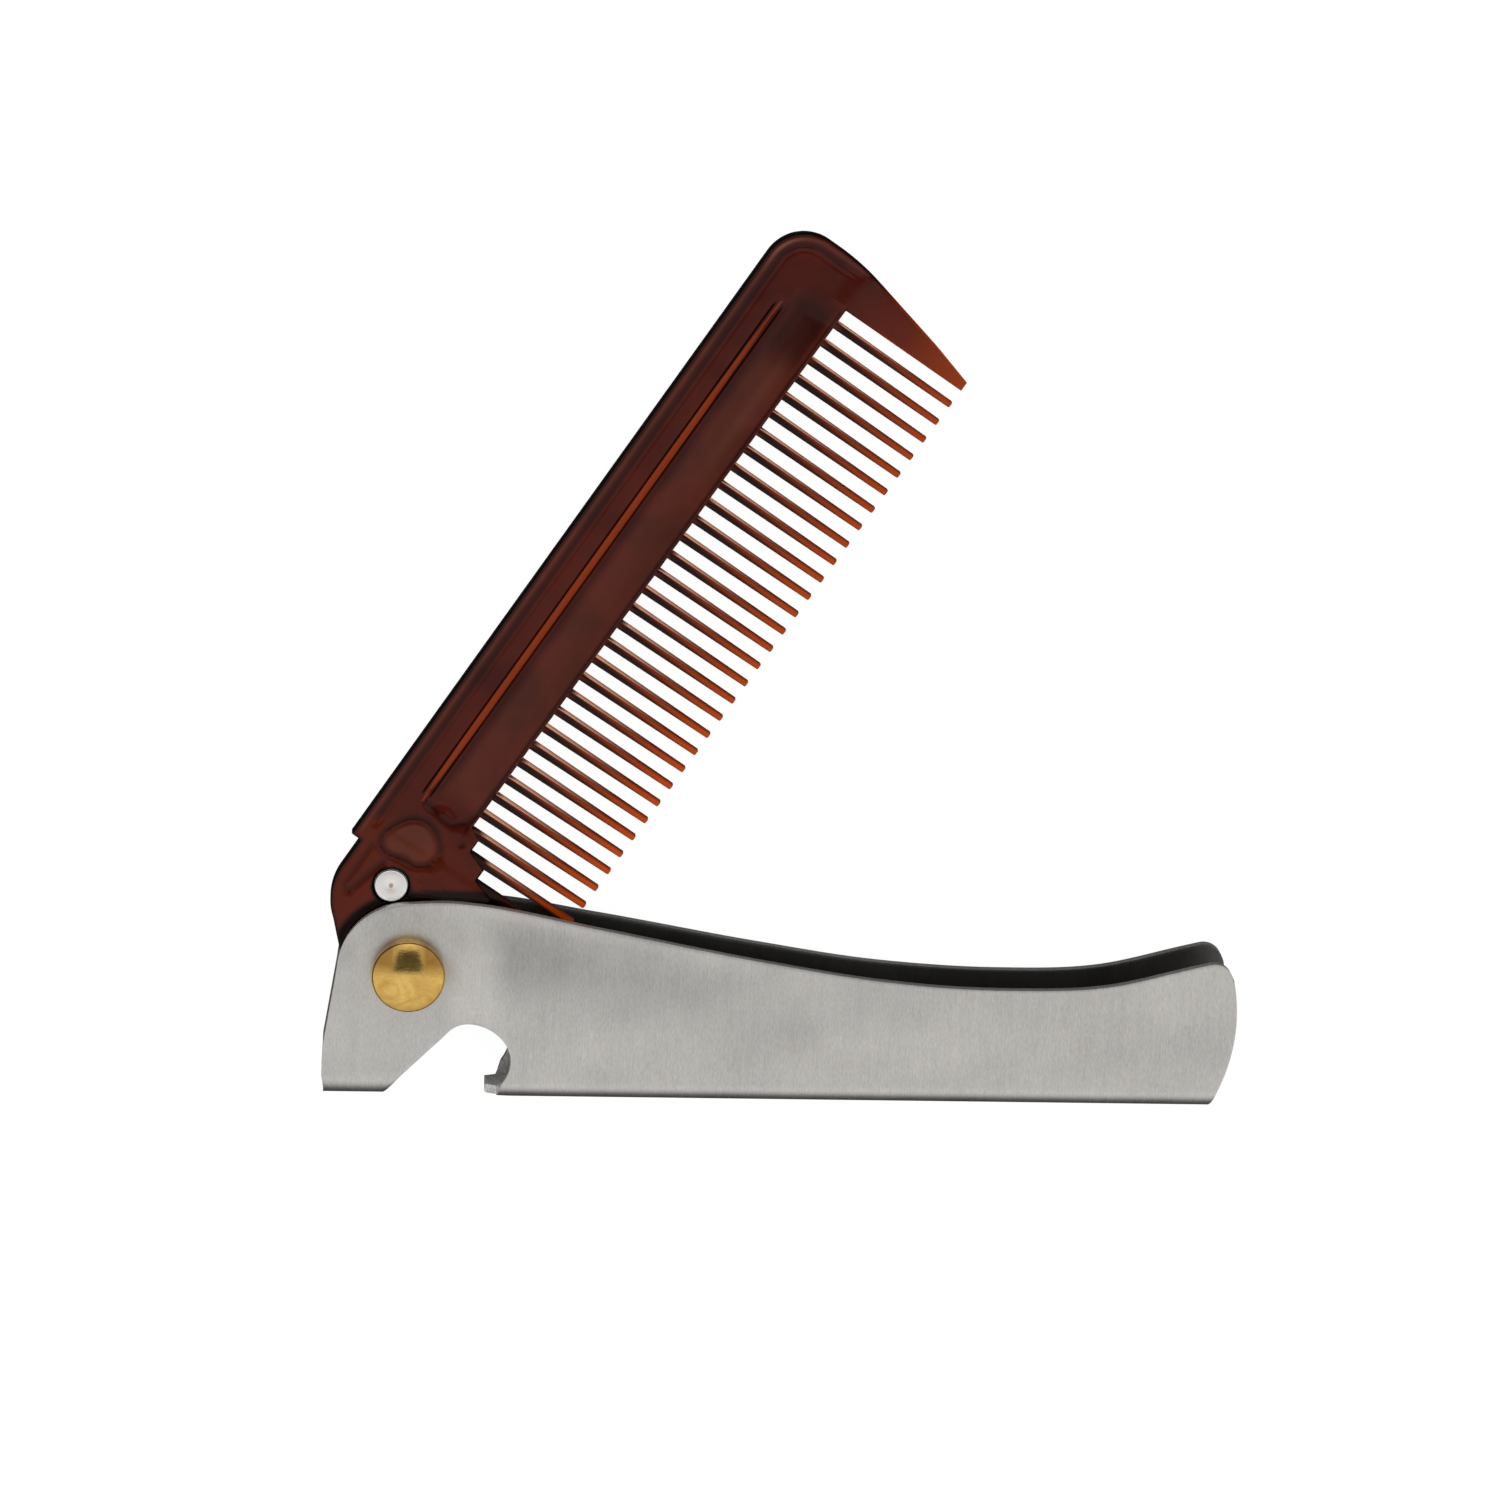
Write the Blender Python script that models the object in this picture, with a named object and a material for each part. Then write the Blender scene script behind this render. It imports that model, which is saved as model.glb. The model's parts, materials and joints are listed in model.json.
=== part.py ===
# Folding pocket comb: a folded steel handle with an opener notch, and a moulded comb on a brass rivet.
# Metres, +Z up. It lies on its side: X runs along the handle, Y across it, Z through its two walls.
# Each shape is worked out with the rivet's axis at x = y = 0 and the comb's middle plane at z = 0.
import math

import bmesh
import bpy
import numpy as np

MM = 0.001

# Handle: one sheet folded into a channel
SHEET = 1.1 * MM
CHANNEL_WIDTH = 9.4 * MM
PINCHED_WIDTH = 5.2 * MM
FOLD_OUTER_RADIUS = 2.3 * MM
WEB_BOTTOM_Y = -15.8 * MM
LEFT_END_X = -10.5 * MM
LEFT_BEND = (-10.35 * MM, -9.5 * MM)
NOSE_RADIUS = 8.8 * MM
NOSE_START_DEG = 176.0
RIGHT_ARC_CENTRE = (79.9 * MM, -4.3 * MM)
RIGHT_ARC_RADIUS = 23.3 * MM
RIGHT_CORNER_RADIUS = 2.4 * MM
RIGHT_CORNER_RISE = 1.1 * MM
RIGHT_CORNER_SIDE = 4.0 * MM
# Top edge of a wall from the nose to the right corner
TOP_EDGE_X = np.array([0.0, 4.0, 9.0, 23.4, 43.3, 58.3, 74.0, 87.0, 97.5]) * MM
TOP_EDGE_Y = np.array([8.8, 9.0, 8.75, 6.3, 2.65, 0.4, -0.5, 0.15, 2.75]) * MM

# Opener notch: a round mouth with a straight 45 degree edge on its left and a lip on its right
NOTCH_CENTRE = (8.35 * MM, -10.8 * MM)
NOTCH_RADIUS = 4.5 * MM
LIP_END_X = 9.8 * MM
LIP_FOLD_X = 11.2 * MM

# Pinch: both walls close in on the comb's heel and open again along the handle. It is deepest near
# the top edge and fades out below it, but the nose is pinched down to its narrow foot.
PINCH_X = np.array([3.0, 4.6, 8.9, 13.0, 20.0, 28.0, 42.0, 57.0, 66.0, 75.0]) * MM
PINCH_DEPTH = np.array([2.1, 2.1, 1.85, 1.52, 1.1, 0.76, 0.42, 0.2, 0.0, 0.0]) * MM
PINCH_HEIGHT = 15.0 * MM
PINCH_RIM = 0.5 * MM
PINCH_SKEW = 1.6
NOSE_END_X = 4.6 * MM
NOSE_BLEND = 8.4 * MM
FOOT_DROP = 0.46 * MM
# The foot's web is cut back at its left end, to let the opened comb's step pass; the cut grows over the fold
WEB_END_RELIEF = 0.25 * MM
RELIEF_FOLD_SHARE = 0.6

# Grid of the sheet: columns left of, over and right of the notch, and where they meet the top edge
WALL_ROWS = 11
FOOT_COLUMNS, SLOPE_COLUMNS, NOTCH_COLUMNS, MAIN_COLUMNS = 4, 5, 12, 24
TOP_SPLIT_X = (-6.0 * MM, 1.0 * MM, 31.0 * MM)
RIGHT_CROWDING = 1.15
RIGHT_BEND_POWER = 6
LEFT_BEND_SHARE = 1 / 8
FOLD_POINTS = 6
WEB_POINTS = 5
WEB_INSET = 0.25 * MM

# Rivet
HEAD_RADIUS = 4.55 * MM
HEAD_RIM = 1.5 * MM
HEAD_DOME = 1.1 * MM
HEAD_SHOULDER = 0.45 * MM
HEAD_BEVEL = 0.12 * MM
DOME_SHARES = (0.93, 0.8, 0.6, 0.4, 0.2, 0.0)
HEAD_SEAT_GAP = 0.3 * MM
SHAFT_RADIUS = 1.8 * MM
SHAFT_CLEARANCE = 0.3 * MM

# Comb, in its own frame: u runs from the rivet along the spine, v from the spine towards the tips
COMB_THICKNESS = 2.4 * MM
REST_ANGLE_DEG = 56.6
SPINE_V = -15.6 * MM
STEP_U = 10.45 * MM
HEEL_BOTTOM_V = -14.3 * MM
HEEL_ARC_CENTRE = (6.3 * MM, -6.6 * MM)
HEEL_RADIUS = 8.4 * MM
HEEL_JOIN_DEG = 247.0
HEEL_LAST_DEG = 25.0
FAR_END_U = 103.5 * MM
FAR_CORNER_RADIUS = 5.3 * MM
TIP_V = 13.5 * MM
ROOT_V = -3.8 * MM
TOOTH_PITCH = 2.648 * MM
FIRST_TOOTH_U = 13.54 * MM
TOOTH_COUNT = 32
TOOTH_ROOT_WIDTH = 1.0 * MM
TOOTH_TIP_WIDTH = 0.8 * MM
TIP_THICKNESS = 0.9 * MM
# The gaps after the first two teeth end higher, where the heel reaches round the rivet
FIRST_ROOTS_V = (0.5 * MM, -2.2 * MM)
HEEL_ROOT_V = 3.6 * MM
HEEL_ARC_START_DEG = 218.0
STEP_CORNER = 0.3 * MM
GUARD_INNER_U = 97.75 * MM
GUARD_TIP_WIDTH = 1.2 * MM
# The guard tooth's outer edge bends inward twice
FAR_BEND_V = -5.5 * MM
FAR_BEND_RADIUS = 30.0 * MM
GUARD_BEND_OUT = 1.5 * MM
GUARD_BEND_V = 8.0 * MM
GUARD_BEND_RADIUS = 25.0 * MM
TIP_CORNER = 0.2 * MM
TAPER_FIRST_U = 12.6 * MM
TAPER_LAST_U = 104.5 * MM

# Shallow moulded channels on both faces of the comb: centre v, width, first u, last u, depth
CHANNELS = {
    "spine groove": (-13.9 * MM, 0.9 * MM, 13.0 * MM, 98.5 * MM, 0.35 * MM),
    "centre line": (-10.85 * MM, 0.9 * MM, 18.3 * MM, 94.5 * MM, 0.7 * MM),
    "scoop": (-7.2 * MM, 4.0 * MM, 19.5 * MM, 96.5 * MM, 0.45 * MM),
}

# Stop pin through the heel
PIN_U = 7.7 * MM
PIN_V = -7.85 * MM
PIN_RADIUS = 2.0 * MM
PIN_LENGTH = 2.7 * MM
PIN_CLEARANCE = 0.3 * MM

ARC_STEP_DEG = 12.0
ROUND_SIDES = 36


def clear_scene():
    for item in list(bpy.data.objects):
        bpy.data.objects.remove(item, do_unlink=True)


def make_material(name, color, roughness, metallic, coat=0.0):
    material = bpy.data.materials.new(name)
    material.use_nodes = True
    shader = material.node_tree.nodes["Principled BSDF"]
    shader.inputs["Base Color"].default_value = (*color, 1.0)
    shader.inputs["Roughness"].default_value = roughness
    shader.inputs["Metallic"].default_value = metallic
    shader.inputs["Coat Weight"].default_value = coat
    return material


def add_object(name, bm, material, parent, smooth_deg=30.0):
    mesh = bpy.data.meshes.new(name)
    bmesh.ops.recalc_face_normals(bm, faces=bm.faces)
    bm.to_mesh(mesh)
    bm.free()
    mesh.shade_smooth()
    mesh.set_sharp_from_angle(angle=math.radians(smooth_deg))
    if material:
        mesh.materials.append(material)
    obj = bpy.data.objects.new(name, mesh)
    bpy.context.scene.collection.objects.link(obj)
    obj.parent = parent
    return obj


def add_empty(name, parent=None):
    empty = bpy.data.objects.new(name, None)
    bpy.context.scene.collection.objects.link(empty)
    empty.parent = parent
    return empty


def cut(obj, cutter):
    cutter.hide_render = True
    cutter.display_type = "WIRE"
    boolean = obj.modifiers.new("cut " + cutter.name, "BOOLEAN")
    boolean.operation = "DIFFERENCE"
    boolean.solver = "EXACT"
    boolean.object = cutter


def arc(centre, radius, start_deg, end_deg, step_deg=ARC_STEP_DEG):
    # points along a circle from one angle to another, both ends included
    count = max(2, math.ceil(abs(end_deg - start_deg) / step_deg) + 1)
    angles = np.radians(np.linspace(start_deg, end_deg, count))
    return np.stack([centre[0] + radius * np.cos(angles), centre[1] + radius * np.sin(angles)], axis=1)


def rounded_corner(before, corner, after, radius, step_deg=ARC_STEP_DEG):
    # the arc that rounds a corner of a polygon
    corner = np.array(corner)
    to_before = np.array(before) - corner
    to_after = np.array(after) - corner
    to_before /= np.linalg.norm(to_before)
    to_after /= np.linalg.norm(to_after)
    half = math.acos(np.clip(to_before @ to_after, -1.0, 1.0)) / 2
    middle = (to_before + to_after) / np.linalg.norm(to_before + to_after)
    centre = corner + middle * radius / math.sin(half)
    start = corner + to_before * radius / math.tan(half) - centre
    end = corner + to_after * radius / math.tan(half) - centre
    start_angle = math.atan2(start[1], start[0])
    turn = math.atan2(start[0] * end[1] - start[1] * end[0], start @ end)
    return arc(centre, radius, math.degrees(start_angle), math.degrees(start_angle + turn), step_deg)


def resample(points, fractions):
    # points at the given fractions of a polyline's length
    steps = np.linalg.norm(np.diff(points, axis=0), axis=1)
    lengths = np.concatenate([[0.0], np.cumsum(steps)]) / steps.sum()
    return np.stack([np.interp(fractions, lengths, points[:, k]) for k in range(2)], axis=1)


def smooth_step(value):
    value = np.clip(value, 0.0, 1.0)
    return value * value * (3.0 - 2.0 * value)


def smooth_curve(knots_x, knots_y, x):
    # a curve through the knots: a cubic on each span, with slopes taken from the neighbouring knots
    slopes = np.gradient(knots_y, knots_x)
    span = np.clip(np.searchsorted(knots_x, x) - 1, 0, len(knots_x) - 2)
    width = knots_x[span + 1] - knots_x[span]
    t = (x - knots_x[span]) / width
    value = (2 * t**3 - 3 * t**2 + 1) * knots_y[span] + (3 * t**2 - 2 * t**3) * knots_y[span + 1]
    return value + ((t**3 - 2 * t**2 + t) * slopes[span] + (t**3 - t**2) * slopes[span + 1]) * width


def pinch_depth(x, y):
    # how far a wall stands in from the channel's full width
    depth = smooth_curve(PINCH_X, PINCH_DEPTH, np.clip(x, PINCH_X[0], PINCH_X[-1]))
    top = smooth_curve(TOP_EDGE_X, TOP_EDGE_Y, np.clip(x, TOP_EDGE_X[0], TOP_EDGE_X[-1]))
    rise = np.clip((y - top + PINCH_HEIGHT) / (PINCH_HEIGHT - PINCH_RIM), 0.0, 1.0)
    upper = smooth_step(rise**PINCH_SKEW)
    nose = 1.0 - smooth_step((x - NOSE_END_X) / NOSE_BLEND)
    return np.clip(depth, 0.0, PINCH_DEPTH[0]) * (upper + (1.0 - upper) * nose)


def right_end_x(y):
    reach = RIGHT_ARC_RADIUS**2 - (y - RIGHT_ARC_CENTRE[1]) ** 2
    return RIGHT_ARC_CENTRE[0] + np.sqrt(reach)


def top_edge():
    # a wall's upper outline: the nose's arc, the long edge and the right corner
    edge_x = np.linspace(TOP_EDGE_X[0], TOP_EDGE_X[-1], 80)
    edge = np.stack([edge_x, smooth_curve(TOP_EDGE_X, TOP_EDGE_Y, edge_x)], axis=1)
    slope = (edge[-1] - edge[-2]) / (edge[-1][0] - edge[-2][0])
    corner_x = float(right_end_x(edge[-1][1] + RIGHT_CORNER_RISE))
    corner = edge[-1] + slope * (corner_x - edge[-1][0])
    below_y = corner[1] - RIGHT_CORNER_SIDE
    nose = arc((0.0, 0.0), NOSE_RADIUS, NOSE_START_DEG, 90.0, 3.0)
    turn = rounded_corner(edge[-1], corner, (float(right_end_x(below_y)), below_y), RIGHT_CORNER_RADIUS)
    return np.concatenate([nose[:-1], edge, turn])


def right_fractions(count):
    # shares of the main part's length, closer together towards the right end
    return 1 - (1 - np.linspace(0.0, 1.0, count + 1)) ** RIGHT_CROWDING


def wall_grid(fold_y, line_offset, tangent, notch_arc):
    # a grid between a wall's lower and upper edge, bent sideways to follow its two ends
    lower_parts = [
        np.array([[LEFT_END_X, fold_y], [fold_y + line_offset, fold_y]]),
        np.array([[fold_y + line_offset, fold_y], tangent]),
        notch_arc,
        np.array([notch_arc[-1], [float(right_end_x(fold_y)), fold_y]]),
    ]
    top = top_edge()
    reach = np.concatenate([[0.0], np.cumsum(np.linalg.norm(np.diff(top, axis=0), axis=1))])
    bounds = [0.0, *[np.interp(x, top[:, 0], reach) for x in TOP_SPLIT_X], reach[-1]]
    counts = [FOOT_COLUMNS, SLOPE_COLUMNS, NOTCH_COLUMNS, MAIN_COLUMNS]
    lower, upper = [], []
    for k, count in enumerate(counts):
        is_last = k == len(counts) - 1
        fractions = right_fractions(count) if is_last else np.linspace(0.0, 1.0, count + 1)[:-1]
        lower.append(resample(lower_parts[k], fractions))
        at = (bounds[k] + (bounds[k + 1] - bounds[k]) * fractions) / reach[-1]
        upper.append(resample(top, at))
    lower, upper = np.concatenate(lower), np.concatenate(upper)

    height = np.linspace(0.0, 1.0, WALL_ROWS)[:, None, None]
    wall = (1 - height) * lower + height * upper
    along = np.linspace(0.0, 1.0, len(lower))
    left_line = np.array([[LEFT_END_X, fold_y], LEFT_BEND, top[0]])
    right_bend = right_end_x(wall[:, -1, 1]) - wall[:, -1, 0]
    left_bend = np.interp(wall[:, 0, 1], left_line[:, 1], left_line[:, 0]) - wall[:, 0, 0]
    wall[1:-1, :, 0] += right_bend[1:-1, None] * along**RIGHT_BEND_POWER
    wall[1:-1, :, 0] += left_bend[1:-1, None] * np.clip(1 - along / LEFT_BEND_SHARE, 0.0, 1.0)
    return wall


def web_section(fold_z, fold_y, depth, flat_z):
    # the folds and web from the front wall to the back wall, as z, y and share of the flat web
    turns = np.radians(np.linspace(0.0, 90.0, FOLD_POINTS))
    radius = FOLD_OUTER_RADIUS - SHEET / 2
    front = [(fold_z + radius * math.cos(a), fold_y - depth * math.sin(a), 0.0) for a in turns]
    flat = [(z, fold_y - depth, 1.0) for z in flat_z]
    return front + flat + [(-z, y, share) for z, y, share in front[::-1]]


def handle_sheet():
    # The sheet's middle surface in four parts: two walls and the web on each side of the notch
    middle_radius = FOLD_OUTER_RADIUS - SHEET / 2
    fold_y = WEB_BOTTOM_Y + FOLD_OUTER_RADIUS
    wall_z = (CHANNEL_WIDTH - SHEET) / 2
    fold_z = wall_z - middle_radius
    notch_x, notch_y = NOTCH_CENTRE
    tangent = (notch_x - NOTCH_RADIUS * math.sqrt(0.5), notch_y + NOTCH_RADIUS * math.sqrt(0.5))
    line_offset = tangent[0] - tangent[1]
    notch_end_deg = math.degrees(math.asin((fold_y - notch_y) / NOTCH_RADIUS))
    notch_arc = arc(NOTCH_CENTRE, NOTCH_RADIUS, 135.0, notch_end_deg, 5.0)
    wall = wall_grid(fold_y, line_offset, tangent, notch_arc)

    bm = bmesh.new()
    for side in (1.0, -1.0):
        grid = []
        for row in wall:
            z = side * (wall_z - pinch_depth(row[:, 0], row[:, 1]))
            grid.append([bm.verts.new((x, y, depth)) for (x, y), depth in zip(row, z)])
        add_grid_faces(bm, grid)
    notch_fold_x = notch_arc[-1][0]
    web_z = np.linspace(fold_z - WEB_INSET, WEB_INSET - fold_z, WEB_POINTS)
    for is_foot in (True, False):
        depth = middle_radius + FOOT_DROP if is_foot else middle_radius
        fractions = np.linspace(0.0, 1.0, FOOT_COLUMNS + 1) if is_foot else right_fractions(MAIN_COLUMNS)
        grid = []
        for z, y, web_share in web_section(fold_z, fold_y, depth, [0.0] if is_foot else web_z):
            if is_foot:
                share = min(1.0, (fold_y - y) / depth / RELIEF_FOLD_SHARE)
                start, end = LEFT_END_X + WEB_END_RELIEF * share, y + line_offset
            else:
                start = notch_fold_x + (LIP_FOLD_X - notch_fold_x) * (fold_y - y) / middle_radius
                start += (LIP_END_X - LIP_FOLD_X) * web_share
                end = float(right_end_x(y))
            x = start + (end - start) * fractions
            z_pinched = z - pinch_depth(x, y) * min(max(z / fold_z, -1.0), 1.0)
            grid.append([bm.verts.new((at, y, height)) for at, height in zip(x, z_pinched)])
        add_grid_faces(bm, grid)
    bmesh.ops.remove_doubles(bm, verts=bm.verts, dist=0.01 * MM)
    return bm


def add_grid_faces(bm, grid):
    for near, far in zip(grid[:-1], grid[1:]):
        for k in range(len(near) - 1):
            bm.faces.new((near[k], near[k + 1], far[k + 1], far[k]))


def make_handle(parent):
    steel = make_material("brushed steel", (0.42, 0.41, 0.385), 0.34, 1.0)
    handle = add_object("handle", handle_sheet(), steel, parent)
    solidify = handle.modifiers.new("sheet thickness", "SOLIDIFY")
    solidify.thickness = SHEET
    solidify.offset = 0.0
    solidify.use_even_offset = True
    cut(handle, make_cylinder("rivet hole", SHAFT_RADIUS + SHAFT_CLEARANCE, CHANNEL_WIDTH * 2, parent))
    return handle


def make_cylinder(name, radius, length, parent, material=None, centre=(0.0, 0.0)):
    bm = bmesh.new()
    bmesh.ops.create_cone(bm, cap_ends=True, segments=ROUND_SIDES,
                          radius1=radius, radius2=radius, depth=length)
    bmesh.ops.translate(bm, verts=bm.verts, vec=(centre[0], centre[1], 0.0))
    return add_object(name, bm, material, parent)


def make_rivet(parent):
    # A half profile from the back dome's pole to the front one's, turned round the axis
    brass = make_material("brass", (0.78, 0.56, 0.25), 0.16, 1.0)
    seat = PINCHED_WIDTH / 2 + HEAD_SEAT_GAP
    rim_top = seat + HEAD_RIM
    dome_radius = (HEAD_RADIUS**2 + HEAD_DOME**2) / (2 * HEAD_DOME)
    shoulder = [(HEAD_RADIUS, rim_top - HEAD_SHOULDER), (HEAD_RADIUS - HEAD_BEVEL, rim_top - HEAD_BEVEL)]
    dome = []
    for share in DOME_SHARES:
        radius = share * HEAD_RADIUS
        drop = dome_radius - math.sqrt(dome_radius**2 - radius**2)
        dome.append((radius, rim_top + HEAD_DOME - drop))
    front = [(SHAFT_RADIUS, seat), (HEAD_RADIUS, seat)] + shoulder + dome
    profile = [(radius, -z) for radius, z in front[::-1]] + front
    bm = bmesh.new()
    points = [bm.verts.new((radius, 0.0, z)) for radius, z in profile]
    edges = [bm.edges.new(pair) for pair in zip(points[:-1], points[1:])]
    bmesh.ops.spin(bm, geom=points + edges, cent=(0, 0, 0), axis=(0, 0, 1), angle=2 * math.pi,
                   steps=ROUND_SIDES, use_duplicate=False)
    bmesh.ops.remove_doubles(bm, verts=bm.verts, dist=0.01 * MM)
    return add_object("pivot_rivet", bm, brass, parent)


def comb_outline():
    # round the comb from the step on its spine, over the far end and the teeth, and back round the heel
    outline = [np.array([[STEP_U, SPINE_V]])]
    guard_outer_u = GUARD_INNER_U + GUARD_TIP_WIDTH
    far_corner = (FAR_END_U, SPINE_V)
    far_bend = (FAR_END_U, FAR_BEND_V)
    guard_bend = (guard_outer_u + GUARD_BEND_OUT, GUARD_BEND_V)
    guard_tip = (guard_outer_u, TIP_V)
    outline.append(rounded_corner((0.0, SPINE_V), far_corner, far_bend, FAR_CORNER_RADIUS))
    outline.append(rounded_corner(far_corner, far_bend, guard_bend, FAR_BEND_RADIUS, 3.0))
    outline.append(rounded_corner(far_bend, guard_bend, guard_tip, GUARD_BEND_RADIUS, 3.0))
    guard_corner = [(GUARD_INNER_U + TIP_CORNER, TIP_V), (GUARD_INNER_U, TIP_V - TIP_CORNER)]
    outline.append(np.array([guard_tip, *guard_corner]))
    roots = list(FIRST_ROOTS_V) + [ROOT_V] * (TOOTH_COUNT - len(FIRST_ROOTS_V))
    right_root = (GUARD_INNER_U, roots[-1])
    for k in range(TOOTH_COUNT - 1, -1, -1):
        centre = FIRST_TOOTH_U + TOOTH_PITCH * k
        left_root_v = roots[k - 1] if k else HEEL_ROOT_V
        outline.append(np.array([
            right_root,
            (centre + TOOTH_ROOT_WIDTH / 2, roots[k]),
            (centre + TOOTH_TIP_WIDTH / 2, TIP_V - TIP_CORNER),
            (centre + TOOTH_TIP_WIDTH / 2 - TIP_CORNER, TIP_V),
            (centre - TOOTH_TIP_WIDTH / 2 + TIP_CORNER, TIP_V),
            (centre - TOOTH_TIP_WIDTH / 2, TIP_V - TIP_CORNER),
        ]))
        right_root = (centre - TOOTH_ROOT_WIDTH / 2, left_root_v)
    outline.append(np.array([right_root]))
    outline.append(arc((0.0, 0.0), HEEL_RADIUS, HEEL_LAST_DEG, HEEL_JOIN_DEG))
    outline.append(arc(HEEL_ARC_CENTRE, HEEL_ARC_CENTRE[1] - HEEL_BOTTOM_V, HEEL_ARC_START_DEG, 270.0))
    outline.append(np.array([[STEP_U - STEP_CORNER, HEEL_BOTTOM_V], [STEP_U, HEEL_BOTTOM_V - STEP_CORNER]]))
    return np.concatenate(outline)


def extrude_outline(points, low, high):
    bm = bmesh.new()
    face = bm.faces.new([bm.verts.new((u, v, low)) for u, v in points])
    top = bmesh.ops.extrude_face_region(bm, geom=[face])
    verts = [item for item in top["geom"] if isinstance(item, bmesh.types.BMVert)]
    bmesh.ops.translate(bm, verts=verts, vec=(0.0, 0.0, high - low))
    return bm


def merge_into(target, source):
    mesh = bpy.data.meshes.new("scratch")
    source.to_mesh(mesh)
    source.free()
    target.from_mesh(mesh)
    bpy.data.meshes.remove(mesh)


def taper_wedges():
    # two long wedges that thin the teeth towards their tips, one above the comb and one below
    half = COMB_THICKNESS / 2
    bm = bmesh.new()
    for side in (1.0, -1.0):
        slope = [(ROOT_V, half), (TIP_V + MM, TIP_THICKNESS / 2)]
        section = slope + [(TIP_V + MM, half + MM), (ROOT_V, half + MM)]
        verts = [bm.verts.new((TAPER_FIRST_U, v, side * z)) for v, z in section]
        face = bm.faces.new(verts)
        grown = bmesh.ops.extrude_face_region(bm, geom=[face])
        moved = [item for item in grown["geom"] if isinstance(item, bmesh.types.BMVert)]
        bmesh.ops.translate(bm, verts=moved, vec=(TAPER_LAST_U - TAPER_FIRST_U, 0.0, 0.0))
    return bm


def channel_cutters():
    half = COMB_THICKNESS / 2
    bm = bmesh.new()
    for centre_v, width, first_u, last_u, depth in CHANNELS.values():
        radius = width / 2
        right = arc((last_u - radius, centre_v), radius, -90.0, 90.0, 30.0)
        left = arc((first_u + radius, centre_v), radius, 90.0, 270.0, 30.0)
        points = np.concatenate([right, left])
        merge_into(bm, extrude_outline(points, half - depth, half + MM))
        merge_into(bm, extrude_outline(points, -half - MM, depth - half))
    return bm


def make_comb(parent):
    plastic = make_material("tortoiseshell plastic", (0.075, 0.016, 0.01), 0.12, 0.0, 0.6)
    half = COMB_THICKNESS / 2
    comb = add_object("comb", extrude_outline(comb_outline(), -half, half), plastic, parent)
    cut(comb, add_object("tooth taper", taper_wedges(), None, parent))
    cut(comb, add_object("moulded channels", channel_cutters(), None, parent))
    cut(comb, make_cylinder("rivet bore", SHAFT_RADIUS + SHAFT_CLEARANCE, CHANNEL_WIDTH, parent))
    cut(comb, make_cylinder("pin bore", PIN_RADIUS + PIN_CLEARANCE, CHANNEL_WIDTH, parent,
                            centre=(PIN_U, PIN_V)))
    return comb


def make_stop_pin(parent):
    steel = make_material("bright steel", (0.8, 0.8, 0.79), 0.2, 1.0)
    return make_cylinder("stop_pin", PIN_RADIUS, PIN_LENGTH, parent, steel, centre=(PIN_U, PIN_V))


def world_box(objects):
    bpy.context.view_layer.update()
    graph = bpy.context.evaluated_depsgraph_get()
    corners = []
    for obj in objects:
        seen = obj.evaluated_get(graph)
        mesh = seen.to_mesh()
        places = np.empty(len(mesh.vertices) * 3, dtype=np.float32)
        mesh.vertices.foreach_get("co", places)
        places = places.reshape(-1, 3) @ np.array(obj.matrix_world.to_3x3()).T
        places += np.array(obj.matrix_world.translation)
        corners += [places.min(axis=0), places.max(axis=0)]
        seen.to_mesh_clear()
    return np.min(corners, axis=0), np.max(corners, axis=0)


def main():
    clear_scene()
    root = add_empty("comb_frame")
    hinge = add_empty("comb_hinge", root)
    # u lies along the spine and v towards the tips, so the comb's frame is turned over, then turned to rest
    hinge.rotation_euler = (math.pi, 0.0, math.radians(REST_ANGLE_DEG))
    pieces = [make_handle(root), make_rivet(root), make_comb(hinge), make_stop_pin(hinge)]
    low, high = world_box(pieces)
    # the origin is the middle of the bottom of the whole comb's box
    root.location = (-(low[0] + high[0]) / 2, -(low[1] + high[1]) / 2, -low[2])
    bpy.context.view_layer.update()
    print("hinge axis at", [round(value, 6) for value in hinge.matrix_world.translation])


main()
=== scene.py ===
# Folding pocket comb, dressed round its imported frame: brushed steel handle, brass rivet, tortoiseshell comb
import json
import math

import bmesh
import bpy
import numpy as np
from mathutils import Matrix, Vector


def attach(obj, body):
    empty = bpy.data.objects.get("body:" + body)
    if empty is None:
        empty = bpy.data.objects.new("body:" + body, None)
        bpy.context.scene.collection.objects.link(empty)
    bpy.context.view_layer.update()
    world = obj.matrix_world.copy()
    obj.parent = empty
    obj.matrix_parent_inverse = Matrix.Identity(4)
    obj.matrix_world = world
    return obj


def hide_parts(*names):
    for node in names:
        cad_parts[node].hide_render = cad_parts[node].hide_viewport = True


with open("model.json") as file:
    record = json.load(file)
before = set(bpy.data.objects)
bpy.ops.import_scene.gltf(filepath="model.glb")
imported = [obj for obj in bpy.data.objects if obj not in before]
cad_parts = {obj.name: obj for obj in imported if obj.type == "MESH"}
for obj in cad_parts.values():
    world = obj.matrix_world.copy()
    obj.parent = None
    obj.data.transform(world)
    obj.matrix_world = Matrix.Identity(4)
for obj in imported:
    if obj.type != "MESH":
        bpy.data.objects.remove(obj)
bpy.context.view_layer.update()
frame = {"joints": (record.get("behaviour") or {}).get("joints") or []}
mm = 0.001
mergeDistance = 0.002  # mm
pivot = np.array(frame["joints"][0]["pos_m"])  # the rivet's middle; every shape below is in mm from it


# Shader arithmetic

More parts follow.
